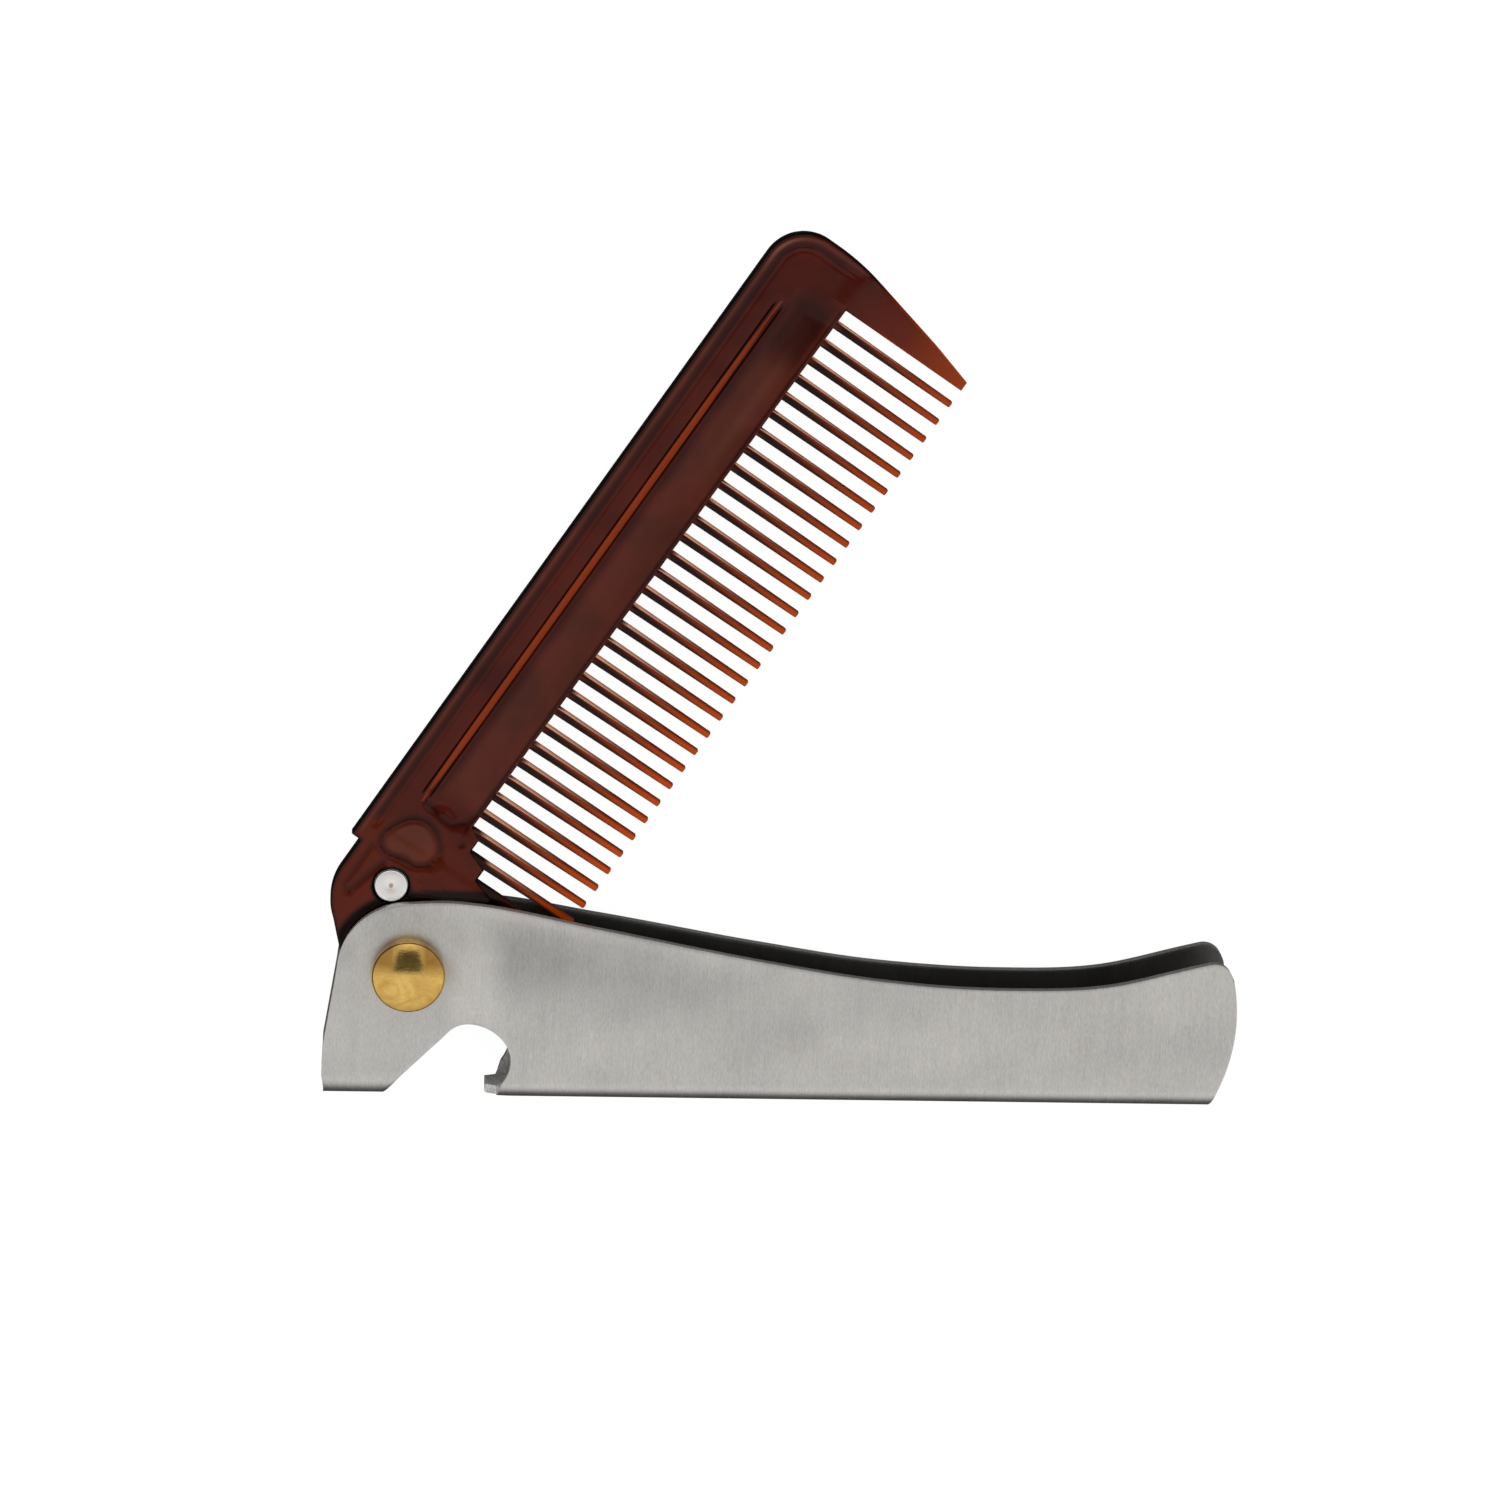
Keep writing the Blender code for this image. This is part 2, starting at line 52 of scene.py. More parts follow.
class Socket:
    # one output of a node; an operator on it adds the Math node that does the sum
    def __init__(self, finish, output):
        self.finish = finish
        self.output = output

    def math(self, operation, first, second):
        return self.finish.node("ShaderNodeMath", {"operation": operation}, {0: first, 1: second})

    def __add__(self, other):
        return self.math("ADD", self, other)

    def __sub__(self, other):
        return self.math("SUBTRACT", self, other)

    def __rsub__(self, other):
        return self.math("SUBTRACT", other, self)

    def __mul__(self, other):
        return self.math("MULTIPLY", self, other)

    def __truediv__(self, other):
        return self.math("DIVIDE", self, other)

    __radd__ = __add__
    __rmul__ = __mul__


class Finish:
    # a material, or the world, whose nodes are being put together
    def __init__(self, owner):
        self.owner = owner
        owner.use_nodes = True
        self.tree = owner.node_tree
        self.tree.nodes.clear()

    def node(self, kind, settings=None, sockets=None, output=0):
        # settings come first, because some of them change which sockets there are
        made = self.tree.nodes.new(kind)
        for name, value in (settings or {}).items():
            setattr(made, name, value)
        for key, value in (sockets or {}).items():
            if isinstance(value, Socket):
                self.tree.links.new(value.output, made.inputs[key])
            elif isinstance(value, tuple) and len(value) == 3 and made.inputs[key].type == "RGBA":
                made.inputs[key].default_value = (*value, 1.0)
            else:
                made.inputs[key].default_value = value
        return Socket(self, made.outputs[output]) if made.outputs else None

    def place(self, scale):
        # object coordinates in mm, stretched
        coords = self.node("ShaderNodeTexCoord", output="Object")
        perMetre = tuple(k / mm for k in scale)
        return self.node("ShaderNodeMapping", None, {"Vector": coords, "Scale": perMetre})

    def noise(self, scale, detail=2.0, roughness=0.5, distortion=0.0):
        return self.node("ShaderNodeTexNoise", None, {
            "Vector": self.place(scale), "Scale": 1.0, "Detail": detail, "Roughness": roughness,
            "Distortion": distortion,
        }, "Fac")

    def attribute(self, name):
        return self.node("ShaderNodeAttribute", {"attribute_name": name}, None, "Fac")

    def rescale(self, value, low, high, newLow=0.0, newHigh=1.0):
        return self.node("ShaderNodeMapRange", {"clamp": True}, {
            "Value": value, "From Min": low, "From Max": high, "To Min": newLow, "To Max": newHigh,
        })

    def mix(self, factor, first, second):
        # inputs 6 and 7 and output 2 are the node's colours
        return self.node("ShaderNodeMix", {"data_type": "RGBA"}, {"Factor": factor, 6: first, 7: second}, 2)

    def bump(self, height, distance, strength):
        sockets = {"Height": height, "Distance": distance * mm, "Strength": strength}
        return self.node("ShaderNodeBump", None, sockets)

    def close(self, sockets):
        shader = self.node("ShaderNodeBsdfPrincipled", None, sockets)
        self.node("ShaderNodeOutputMaterial", None, {"Surface": shader})
        return self.owner


# Shape helpers

def smoothStep(value):
    # 3t^2 - 2t^3 with t held between 0 and 1
    value = np.clip(value, 0.0, 1.0)
    return value * value * (3.0 - 2.0 * value)


def arc(centre, radius, startDeg, endDeg, count):
    # points (cx + r cos a, cy + r sin a)
    angles = np.radians(np.linspace(startDeg, endDeg, count))
    return np.stack([centre[0] + radius * np.cos(angles), centre[1] + radius * np.sin(angles)], axis=-1)


def roundedCorner(before, corner, after, radius, count):
    # the arc of that radius that touches both sides of a corner
    corner = np.array(corner, float)
    toBefore = np.array(before) - corner
    toAfter = np.array(after) - corner
    toBefore /= np.linalg.norm(toBefore)
    toAfter /= np.linalg.norm(toAfter)
    half = math.acos(np.clip(toBefore @ toAfter, -1.0, 1.0)) / 2
    centre = corner + (toBefore + toAfter) / np.linalg.norm(toBefore + toAfter) * radius / math.sin(half)
    start = corner + toBefore * radius / math.tan(half) - centre
    end = corner + toAfter * radius / math.tan(half) - centre
    first = math.atan2(start[1], start[0])
    turn = math.atan2(start[0] * end[1] - start[1] * end[0], start @ end)
    return arc(centre, radius, math.degrees(first), math.degrees(first + turn), count)


def alongLine(points, fractions):
    # points at the given fractions of a line's length
    steps = np.linalg.norm(np.diff(points, axis=0), axis=1)
    reach = np.concatenate([[0.0], np.cumsum(steps)]) / steps.sum()
    return np.stack([np.interp(fractions, reach, points[:, k]) for k in range(points.shape[1])], axis=-1)


def smoothCurve(knotsX, knotsY, x):
    # a cubic through the knots on each span, with slopes taken from the neighbouring knots
    slopes = np.gradient(knotsY, knotsX)
    span = np.clip(np.searchsorted(knotsX, x) - 1, 0, len(knotsX) - 2)
    width = knotsX[span + 1] - knotsX[span]
    t = (x - knotsX[span]) / width
    value = (2 * t**3 - 3 * t**2 + 1) * knotsY[span] + (3 * t**2 - 2 * t**3) * knotsY[span + 1]
    return value + ((t**3 - 2 * t**2 + t) * slopes[span] + (t**3 - t**2) * slopes[span + 1]) * width


def gridQuads(index):
    # the quads between neighbours in an array of vertex numbers
    return np.stack([index[:-1, :-1], index[:-1, 1:], index[1:, 1:], index[1:, :-1]], axis=-1).reshape(-1, 4)


def cleanMesh(name, points, faces):
    # points are in mm from the rivet; doubles are merged and the faces turned outward
    mesh = bpy.data.meshes.new(name)
    mesh.from_pydata((points * mm + pivot).tolist(), [], faces.tolist())
    bm = bmesh.new()
    bm.from_mesh(mesh)
    bmesh.ops.remove_doubles(bm, verts=bm.verts, dist=mergeDistance * mm)
    bmesh.ops.recalc_face_normals(bm, faces=bm.faces)
    bm.to_mesh(mesh)
    bm.free()
    return mesh


def makePiece(name, points, faces, materials, body, node):
    mesh = cleanMesh(name, points, faces)
    mesh.shade_smooth()
    for material in materials:
        mesh.materials.append(material)
    piece = bpy.data.objects.new(name, mesh)
    bpy.context.scene.collection.objects.link(piece)
    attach(piece, body)
    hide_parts(node)
    return piece


def turned(profile, sides):
    # a profile (r, z) turned round Z: (r cos a, r sin a, z)
    angles = np.linspace(0.0, 2 * np.pi, sides + 1)
    radius, height = profile[:, 0][:, None], profile[:, 1][:, None]
    points = np.stack([radius * np.cos(angles), radius * np.sin(angles), height + 0 * angles], axis=-1)
    index = np.arange(points.shape[0] * points.shape[1]).reshape(points.shape[:2])
    return points.reshape(-1, 3), gridQuads(index)


def cutRound(piece, centre, radius, length):
    # a round hole along Z, cut and kept as mesh
    profile = np.array([(0.0, -length), (radius, -length), (radius, length), (0.0, length)])
    points, faces = turned(profile, 72)
    points[:, :2] += centre
    mesh = cleanMesh("drill", points, faces)
    drill = bpy.data.objects.new("drill", mesh)
    bpy.context.scene.collection.objects.link(drill)
    boolean = piece.modifiers.new("hole", "BOOLEAN")
    boolean.operation = "DIFFERENCE"
    boolean.solver = "EXACT"
    boolean.object = drill
    keepModifiers(piece)
    bpy.data.objects.remove(drill, do_unlink=True)
    bpy.data.meshes.remove(mesh)


def keepModifiers(piece):
    # the modifiers' result becomes the piece's own mesh
    bpy.context.view_layer.update()
    graph = bpy.context.evaluated_depsgraph_get()
    mesh = bpy.data.meshes.new_from_object(piece.evaluated_get(graph))
    piece.modifiers.clear()
    piece.data = mesh


def markVertices(piece, marks):
    # stores each formula(u, v, side) as an attribute: u and v in the comb's own frame, and side, which is 1
    # where the surface faces sideways and 0 on the two faces
    count = len(piece.data.vertices)
    places, normals = np.empty(count * 3), np.empty(count * 3)
    piece.data.vertices.foreach_get("co", places)
    piece.data.vertices.foreach_get("normal", normals)
    u, v = swapFrames(*((places.reshape(-1, 3) - pivot) / mm).T[:2])
    side = smoothStep((0.95 - np.abs(normals[2::3])) / 0.3)
    for name, formula in marks.items():
        values = np.clip(formula(u, v, side), 0.0, 1.0)
        attribute = piece.data.attributes.new(name, "FLOAT", "POINT")
        attribute.data.foreach_set("value", values.astype(np.float32))


def sharpen(piece, degrees):
    piece.data.shade_smooth()
    piece.data.set_sharp_from_angle(angle=math.radians(degrees))


# Handle: one steel sheet folded into a channel

handle = {
    "sheet": 1.1, "width": 9.4, "foldRadius": 2.3, "webBottom": -15.8, "webInset": 0.25,
    "leftX": -10.5, "leftBend": (-10.35, -9.5), "leftBendShare": 1 / 8,
    "noseRadius": 8.8, "noseStart": 176.0, "rightCentre": (79.9, -4.3), "rightRadius": 23.3,
    "rightCorner": 2.4, "cornerRise": 1.1, "cornerSide": 4.0,
    "topSplits": (-6.0, 1.0, 31.0), "crowding": 1.15, "rightBendPower": 6, "nosePush": 0.4, "pushReach": 1.6,
    "topX": np.array([0.0, 4.0, 9.0, 23.4, 43.3, 58.3, 74.0, 87.0, 97.5]),
    "topY": np.array([8.8, 9.0, 8.75, 6.3, 2.65, 0.4, -0.5, 0.15, 2.75]),
    "notchCentre": (8.35, -10.8), "notchRadius": 4.5, "lipEnd": 9.8, "lipFold": 11.2,
    "lipSpan": (7.0, 13.5), "lipTop": -9.0,
    "pinchX": np.array([3.0, 4.6, 8.9, 13.0, 20.0, 28.0, 42.0, 57.0, 66.0, 75.0]),
    "pinch": np.array([2.1, 2.1, 1.85, 1.52, 1.1, 0.76, 0.42, 0.2, 0.0, 0.0]),
    "pinchHeight": 15.0, "pinchRim": 0.5, "pinchSkew": 1.6, "noseEnd": 4.6, "noseBlend": 8.4,
    "footDrop": 0.46, "webRelief": 0.25, "reliefFoldShare": 0.6, "noseLean": 0.22, "edgeRound": 0.14,
    "boreRadius": 2.1,
}


def pinchDepth(x, y):
    # how far a wall stands in: a depth along x, times a skewed ramp up to the top edge, with all of it at
    # the nose, and a small lean of the nose's wall
    h = handle
    held = np.clip(x, h["pinchX"][0], h["pinchX"][-1])
    depth = np.clip(smoothCurve(h["pinchX"], h["pinch"], held), 0.0, h["pinch"][0])
    top = smoothCurve(h["topX"], h["topY"], np.clip(x, h["topX"][0], h["topX"][-1]))
    rise = np.clip((y - top + h["pinchHeight"]) / (h["pinchHeight"] - h["pinchRim"]), 0.0, 1.0)
    upper = smoothStep(rise ** h["pinchSkew"])
    nose = 1 - smoothStep((x - h["noseEnd"]) / h["noseBlend"])
    aroundRivet = smoothStep((np.hypot(x, y) - 4.5) / 5.0)
    lean = h["noseLean"] * aroundRivet * smoothStep(y / 5.0) * smoothStep((14.0 - x) / 9.0)
    return depth * (upper + (1 - upper) * nose) + lean


def rightEndX(y):
    # the right end's arc: x = cx + sqrt(r^2 - (y - cy)^2)
    centreX, centreY = handle["rightCentre"]
    return centreX + np.sqrt(handle["rightRadius"] ** 2 - (y - centreY) ** 2)


def handleSheet():
    # The sheet's middle surface. A wall blends its lower edge into its upper edge, and its ends follow
    # curves of their own; the web carries a folded section along x on each side of the notch.
    h = handle
    middle = h["foldRadius"] - h["sheet"] / 2
    foldY = h["webBottom"] + h["foldRadius"]
    wallZ = (h["width"] - h["sheet"]) / 2
    foldZ = wallZ - middle
    notchX, notchY = h["notchCentre"]
    tangent = (notchX - h["notchRadius"] * math.sqrt(0.5), notchY + h["notchRadius"] * math.sqrt(0.5))
    lineOffset = tangent[0] - tangent[1]
    notchEnd = math.degrees(math.asin((foldY - notchY) / h["notchRadius"]))
    notchArc = arc(h["notchCentre"], h["notchRadius"], 135.0, notchEnd, 90)
    columns = {"foot": 12, "slope": 16, "notch": 56, "main": 130}
    lowerParts = [
        np.array([[h["leftX"], foldY], [foldY + lineOffset, foldY]]),
        np.array([[foldY + lineOffset, foldY], tangent]),
        notchArc,
        np.array([notchArc[-1], [float(rightEndX(foldY)), foldY]]),
    ]
    edgeX = np.linspace(h["topX"][0], h["topX"][-1], 400)
    edge = np.stack([edgeX, smoothCurve(h["topX"], h["topY"], edgeX)], axis=-1)
    slope = (edge[-1] - edge[-2]) / (edge[-1][0] - edge[-2][0])
    corner = edge[-1] + slope * (float(rightEndX(edge[-1][1] + h["cornerRise"])) - edge[-1][0])
    below = (float(rightEndX(corner[1] - h["cornerSide"])), corner[1] - h["cornerSide"])
    nose = arc((0.0, 0.0), h["noseRadius"], h["noseStart"], 90.0, 120)
    top = np.concatenate([nose[:-1], edge, roundedCorner(edge[-1], corner, below, h["rightCorner"], 40)])
    reach = np.concatenate([[0.0], np.cumsum(np.linalg.norm(np.diff(top, axis=0), axis=1))])
    splits = [0.0, *[np.interp(x, top[:, 0], reach) for x in h["topSplits"]], reach[-1]]
    lower, upper = [], []
    for k, count in enumerate(columns.values()):
        fractions = np.linspace(0.0, 1.0, count + 1)
        fractions = 1 - (1 - fractions) ** h["crowding"] if k == 3 else fractions[:-1]
        lower.append(alongLine(lowerParts[k], fractions))
        upper.append(alongLine(top, (splits[k] + (splits[k + 1] - splits[k]) * fractions) / reach[-1]))
    lower, upper = np.concatenate(lower), np.concatenate(upper)

    rise = np.linspace(0.0, 1.0, 40)[:, None, None]
    wall = (1 - rise) * lower + rise * upper
    along = np.linspace(0.0, 1.0, len(lower))
    rightBend = rightEndX(wall[:, -1, 1]) - wall[:, -1, 0]
    leftLine = np.array([[h["leftX"], foldY], h["leftBend"], top[0]])
    leftBend = np.interp(wall[:, 0, 1], leftLine[:, 1], leftLine[:, 0]) - wall[:, 0, 0]
    wall[1:-1, :, 0] += rightBend[1:-1, None] * along ** h["rightBendPower"]
    wall[1:-1, :, 0] += leftBend[1:-1, None] * np.clip(1 - along / h["leftBendShare"], 0.0, 1.0)
    inside = wall[1:-1, 1:-1]
    # points inside the wall and near the nose's first point move right a little
    inside[..., 0] += h["nosePush"] * np.exp(-((inside - top[0]) ** 2).sum(axis=-1) / h["pushReach"] ** 2)

    points, faces, start = [], [], 0
    for side in (1.0, -1.0):
        z = side * (wallZ - pinchDepth(wall[..., 0], wall[..., 1]))
        points.append(np.concatenate([wall, z[..., None]], axis=-1).reshape(-1, 3))
        faces.append(gridQuads(start + np.arange(z.size).reshape(z.shape)))
        start += z.size
    turn = np.radians(np.linspace(0.0, 90.0, 13))
    for isFoot in (True, False):
        depth = middle + h["footDrop"] if isFoot else middle
        front = np.stack([foldZ + middle * np.cos(turn), foldY - depth * np.sin(turn), 0 * turn], axis=-1)
        flatZ = np.zeros(1) if isFoot else np.linspace(foldZ - h["webInset"], h["webInset"] - foldZ, 11)
        flat = np.stack([flatZ, foldY - depth + 0 * flatZ, 1 + 0 * flatZ], axis=-1)
        section = np.concatenate([front, flat, front[::-1] * (-1, 1, 1)])
        z, y, share = section.T[:, :, None]
        fractions = np.linspace(0.0, 1.0, columns["foot" if isFoot else "main"] + 1)
        if isFoot:
            cutBack = h["webRelief"] * np.clip((foldY - y) / depth / h["reliefFoldShare"], 0.0, 1.0)
            first, last = h["leftX"] + cutBack, y + lineOffset
        else:
            fractions = 1 - (1 - fractions) ** h["crowding"]
            first = notchArc[-1][0] + (h["lipFold"] - notchArc[-1][0]) * (foldY - y) / middle
            first = first + (h["lipEnd"] - h["lipFold"]) * share
            last = rightEndX(y)
        x = first + (last - first) * fractions
        height = z - np.clip(z / foldZ, -1.0, 1.0) * pinchDepth(x, y)
        points.append(np.stack([x, y + 0 * x, height], axis=-1).reshape(-1, 3))
        faces.append(gridQuads(start + np.arange(x.size).reshape(x.shape)))
        start += x.size
    return np.concatenate(points), np.concatenate(faces)


def brushedSteel(name, tone, roughness, grain=1.0, contrast=(0.76, 1.13), metallic=1.0):
    # fine grain stretched a little along Y, with a few longer hairs and very faint clouds
    finish = Finish(bpy.data.materials.new(name))
    fine = finish.noise((7.0, 1.6, 1.6), 3.0, 0.65)
    hair = finish.noise((14.0, 0.35, 0.35), 2.0, 0.6)
    broad = finish.noise((0.8, 0.1, 0.1), 3.0, 0.55)
    cloud = finish.noise((0.09, 0.12, 0.09), 2.0, 0.5)
    dark, light = (tuple(share * k for k in tone) for share in contrast)
    shade = finish.rescale(fine * 0.45 + hair * 0.25 + broad * 0.12 + cloud * 0.3, 0.4, 0.72)
    return finish.close({
        "Base Color": finish.mix(shade, dark, light),
        "Metallic": metallic,
        "Roughness": finish.rescale(hair * 0.6 + cloud * 0.4, 0.3, 0.7, roughness - 0.04, roughness + 0.05),
        "Normal": finish.bump(fine * 0.6 + hair * 0.4, 0.02 * grain, 0.4),
    })


steelOutside = brushedSteel("brushed steel", (0.72, 0.705, 0.68), 0.42, 2.0)
# the channel's inner faces: the same steel painted far darker, as painted shade inside the channel
steelInsideShade = brushedSteel("channel inside painted shade", (0.17, 0.165, 0.155), 0.42)
# the cut edges: rougher, and painted lighter than the faces as a painted highlight along the rims
steelEdgeHighlight = brushedSteel("cut steel edge painted highlight", (0.92, 0.91, 0.89), 0.6)
# the lip and the inner faces by the notch: near-white non-metal with strong dark streaks, a painted highlight
# with painted reflections
steelLipHighlight = brushedSteel("lip painted highlight", (0.95, 0.94, 0.92), 0.3, 4.0, (0.3, 1.3), 0.0)

points, faces = handleSheet()
steels = [steelOutside, steelInsideShade, steelEdgeHighlight, steelLipHighlight]
channel = makePiece("steel_channel", points, faces, steels, "handle", "handle")
solidify = channel.modifiers.new("sheet", "SOLIDIFY")
solidify.thickness = handle["sheet"] * mm
solidify.offset = 0.0
solidify.use_even_offset = True
solidify.material_offset = 1
solidify.material_offset_rim = 2
bevel = channel.modifiers.new("rounded edges", "BEVEL")
bevel.width = handle["edgeRound"] * mm
bevel.segments = 2
bevel.limit_method = "ANGLE"
bevel.angle_limit = math.radians(50)
keepModifiers(channel)
for face in channel.data.polygons:
    # the lip inside the notch and the inner faces beside it: painted highlight
    x, y, z = (np.array(face.center) - pivot) / mm
    if face.material_index > 0 and handle["lipSpan"][0] < x < handle["lipSpan"][1] and y < handle["lipTop"]:
        face.material_index = steels.index(steelLipHighlight)
cutRound(channel, (0.0, 0.0), handle["boreRadius"], handle["width"])
sharpen(channel, 40)
print("handle:", len(channel.data.polygons), "faces")


# Rivet: a shaft with a domed head on each side

rivet = {
    "headRadius": 4.55, "seat": 2.62, "seatEdge": 0.1, "rimTop": 4.68, "dome": 0.82, "shoulder": (0.4, 0.55),
    "shaftRadius": 1.8,
}


def rivetProfile():
    # seat, side, an elliptic shoulder, then a spherical dome that meets it smoothly
    r, (across, tall) = rivet["headRadius"], rivet["shoulder"]
    inner = r - across
    domeRadius = (inner**2 + rivet["dome"] ** 2) / (2 * rivet["dome"])
    tilt = math.asin(inner / domeRadius)
    turn = np.linspace(0.0, math.atan2(tall / across, math.tan(tilt)), 14)
    shoulder = np.stack([inner + across * np.cos(turn), tall * (np.sin(turn) - math.sin(turn[-1]))], axis=-1)
    radii = np.linspace(1.0, 0.0, 30)[1:] * shoulder[-1, 0]
    domeTop = rivet["rimTop"] + rivet["dome"]
    shoulder[:, 1] += domeTop - domeRadius + math.sqrt(domeRadius**2 - shoulder[-1, 0] ** 2)
    dome = np.stack([radii, domeTop - domeRadius + np.sqrt(domeRadius**2 - radii**2)], axis=-1)
    seat, edge = rivet["seat"], rivet["seatEdge"]
    foot = np.array([(rivet["shaftRadius"], seat), (r - edge, seat), (r, seat + edge)])
    front = np.concatenate([foot, shoulder, dome])
    return np.concatenate([front[::-1] * (1, -1), front])


def polishedBrass():
    # gold metal, browner in soft patches, darker brown on its upper shoulders as painted shade, with faint
    # curved polishing streaks
    finish = Finish(bpy.data.materials.new("polished brass"))
    patch = finish.noise((0.3, 0.3, 0.3), 4.0, 0.55, 1.0)
    streak = finish.noise((1.4, 4.5, 2.0), 2.0, 0.6, 0.8)
    warm = finish.rescale(patch * 0.8 + streak * 0.2, 0.36, 0.62)
    unstretched = finish.place((1.0, 1.0, 1.0))
    x, y = [finish.node("ShaderNodeSeparateXYZ", None, {0: unstretched}, k) for k in range(2)]
    middleX, middleY = pivot[:2] / mm
    # painted shade: the head's upper shoulders, above its middle and off to the sides, are painted darker
    # brown
    sideways = finish.node("ShaderNodeMath", {"operation": "ABSOLUTE"}, {0: x - middleX})
    upward = finish.rescale(y + patch * 1.5, middleY + 0.9, middleY + 2.6)
    upperShoulderShade = upward * finish.rescale(sideways, 1.0, 2.2)
    return finish.close({
        "Base Color": finish.mix(upperShoulderShade * 0.75, finish.mix(warm, (0.62, 0.36, 0.085), (0.90, 0.60, 0.18)),
                                 (0.26, 0.12, 0.025)),
        "Metallic": 1.0,
        "Roughness": finish.rescale(patch * 0.6 + streak * 0.4, 0.3, 0.7, 0.08, 0.2),
        "Normal": finish.bump(streak + patch * 0.4, 0.02, 0.35),
    })


points, faces = turned(rivetProfile(), 144)
brassRivet = makePiece("brass_rivet", points, faces, [polishedBrass()], "handle", "pivot_rivet")
sharpen(brassRivet, 38)
print("rivet:", len(brassRivet.data.polygons), "faces")


# Comb: u runs along the spine from the rivet, v from the spine towards the tips

comb = {
    "restDeg": 56.6, "half": 1.2, "spine": -15.6, "stepU": 10.45, "stepCorner": 0.25, "heelBottom": -14.3,
    "heelArc": (6.3, -6.6), "heelArcStart": 218.0, "heelRadius": 8.4, "heelJoin": 247.0, "heelLast": 25.0,
    "farU": 103.5, "farCorner": 5.3, "farBend": -5.5, "farBendRadius": 30.0, "tip": 13.5, "root": -3.8,
    "pitch": 2.648, "firstU": 13.54, "teeth": 32, "rootWidth": 1.0, "tipWidth": 0.8, "tipHalf": 0.45,
    "tipRound": 0.1, "firstRoots": (0.5, -2.2), "heelRoot": 3.6, "guardU": 97.75, "guardTip": 1.2,
    "guardBendOut": 1.5, "guardBendV": 8.0, "guardBendRadius": 25.0, "rim": 0.34,
    "strokes": [
        (((10.8, -12.75), (4.7, -12.7), (4.2, -12.2), (4.3, -11.75)), 0.36, 0.45),
        (((9.7, -10.35), (7.5, -10.95), (4.3, -11.75)), 0.4, 0.6),
        (((18.9, -10.4), (18.3, -7.8), (18.2, -5.95), (19.5, -4.75), (21.4, -4.2), (24.8, -4.1)), 0.48, 0.6),
        (((10.5, -5.15), (10.9, -5.1)), 0.34, 0.6), (((16.8, -3.7), (17.1, -3.6)), 0.34, 0.6),
    ],
    "boss": (
        (11.68, -11.95), (12.75, -11.86), (15.07, -10.98), (16.21, -9.85), (16.44, -8.36), (15.85, -7.13),
        (14.93, -5.94), (13.7, -5.64), (12.38, -6.11), (11.96, -6.92), (11.8, -8.84), (11.32, -10.6),
    ),
}
pin = {"u": 7.7, "v": -7.85, "radius": 2.0, "half": 1.24, "bore": 2.33, "shoulder": 2.31}


def swapFrames(first, second):
    # turned over and turned to its rest angle: x = u cos + v sin, y = u sin - v cos; the same sum leads back
    angle = math.radians(comb["restDeg"])
    cos, sin = math.cos(angle), math.sin(angle)
    return first * cos + second * sin, first * sin - second * cos


def toFrame(u, v, z):
    return np.stack([*swapFrames(u, v), z], axis=-1)


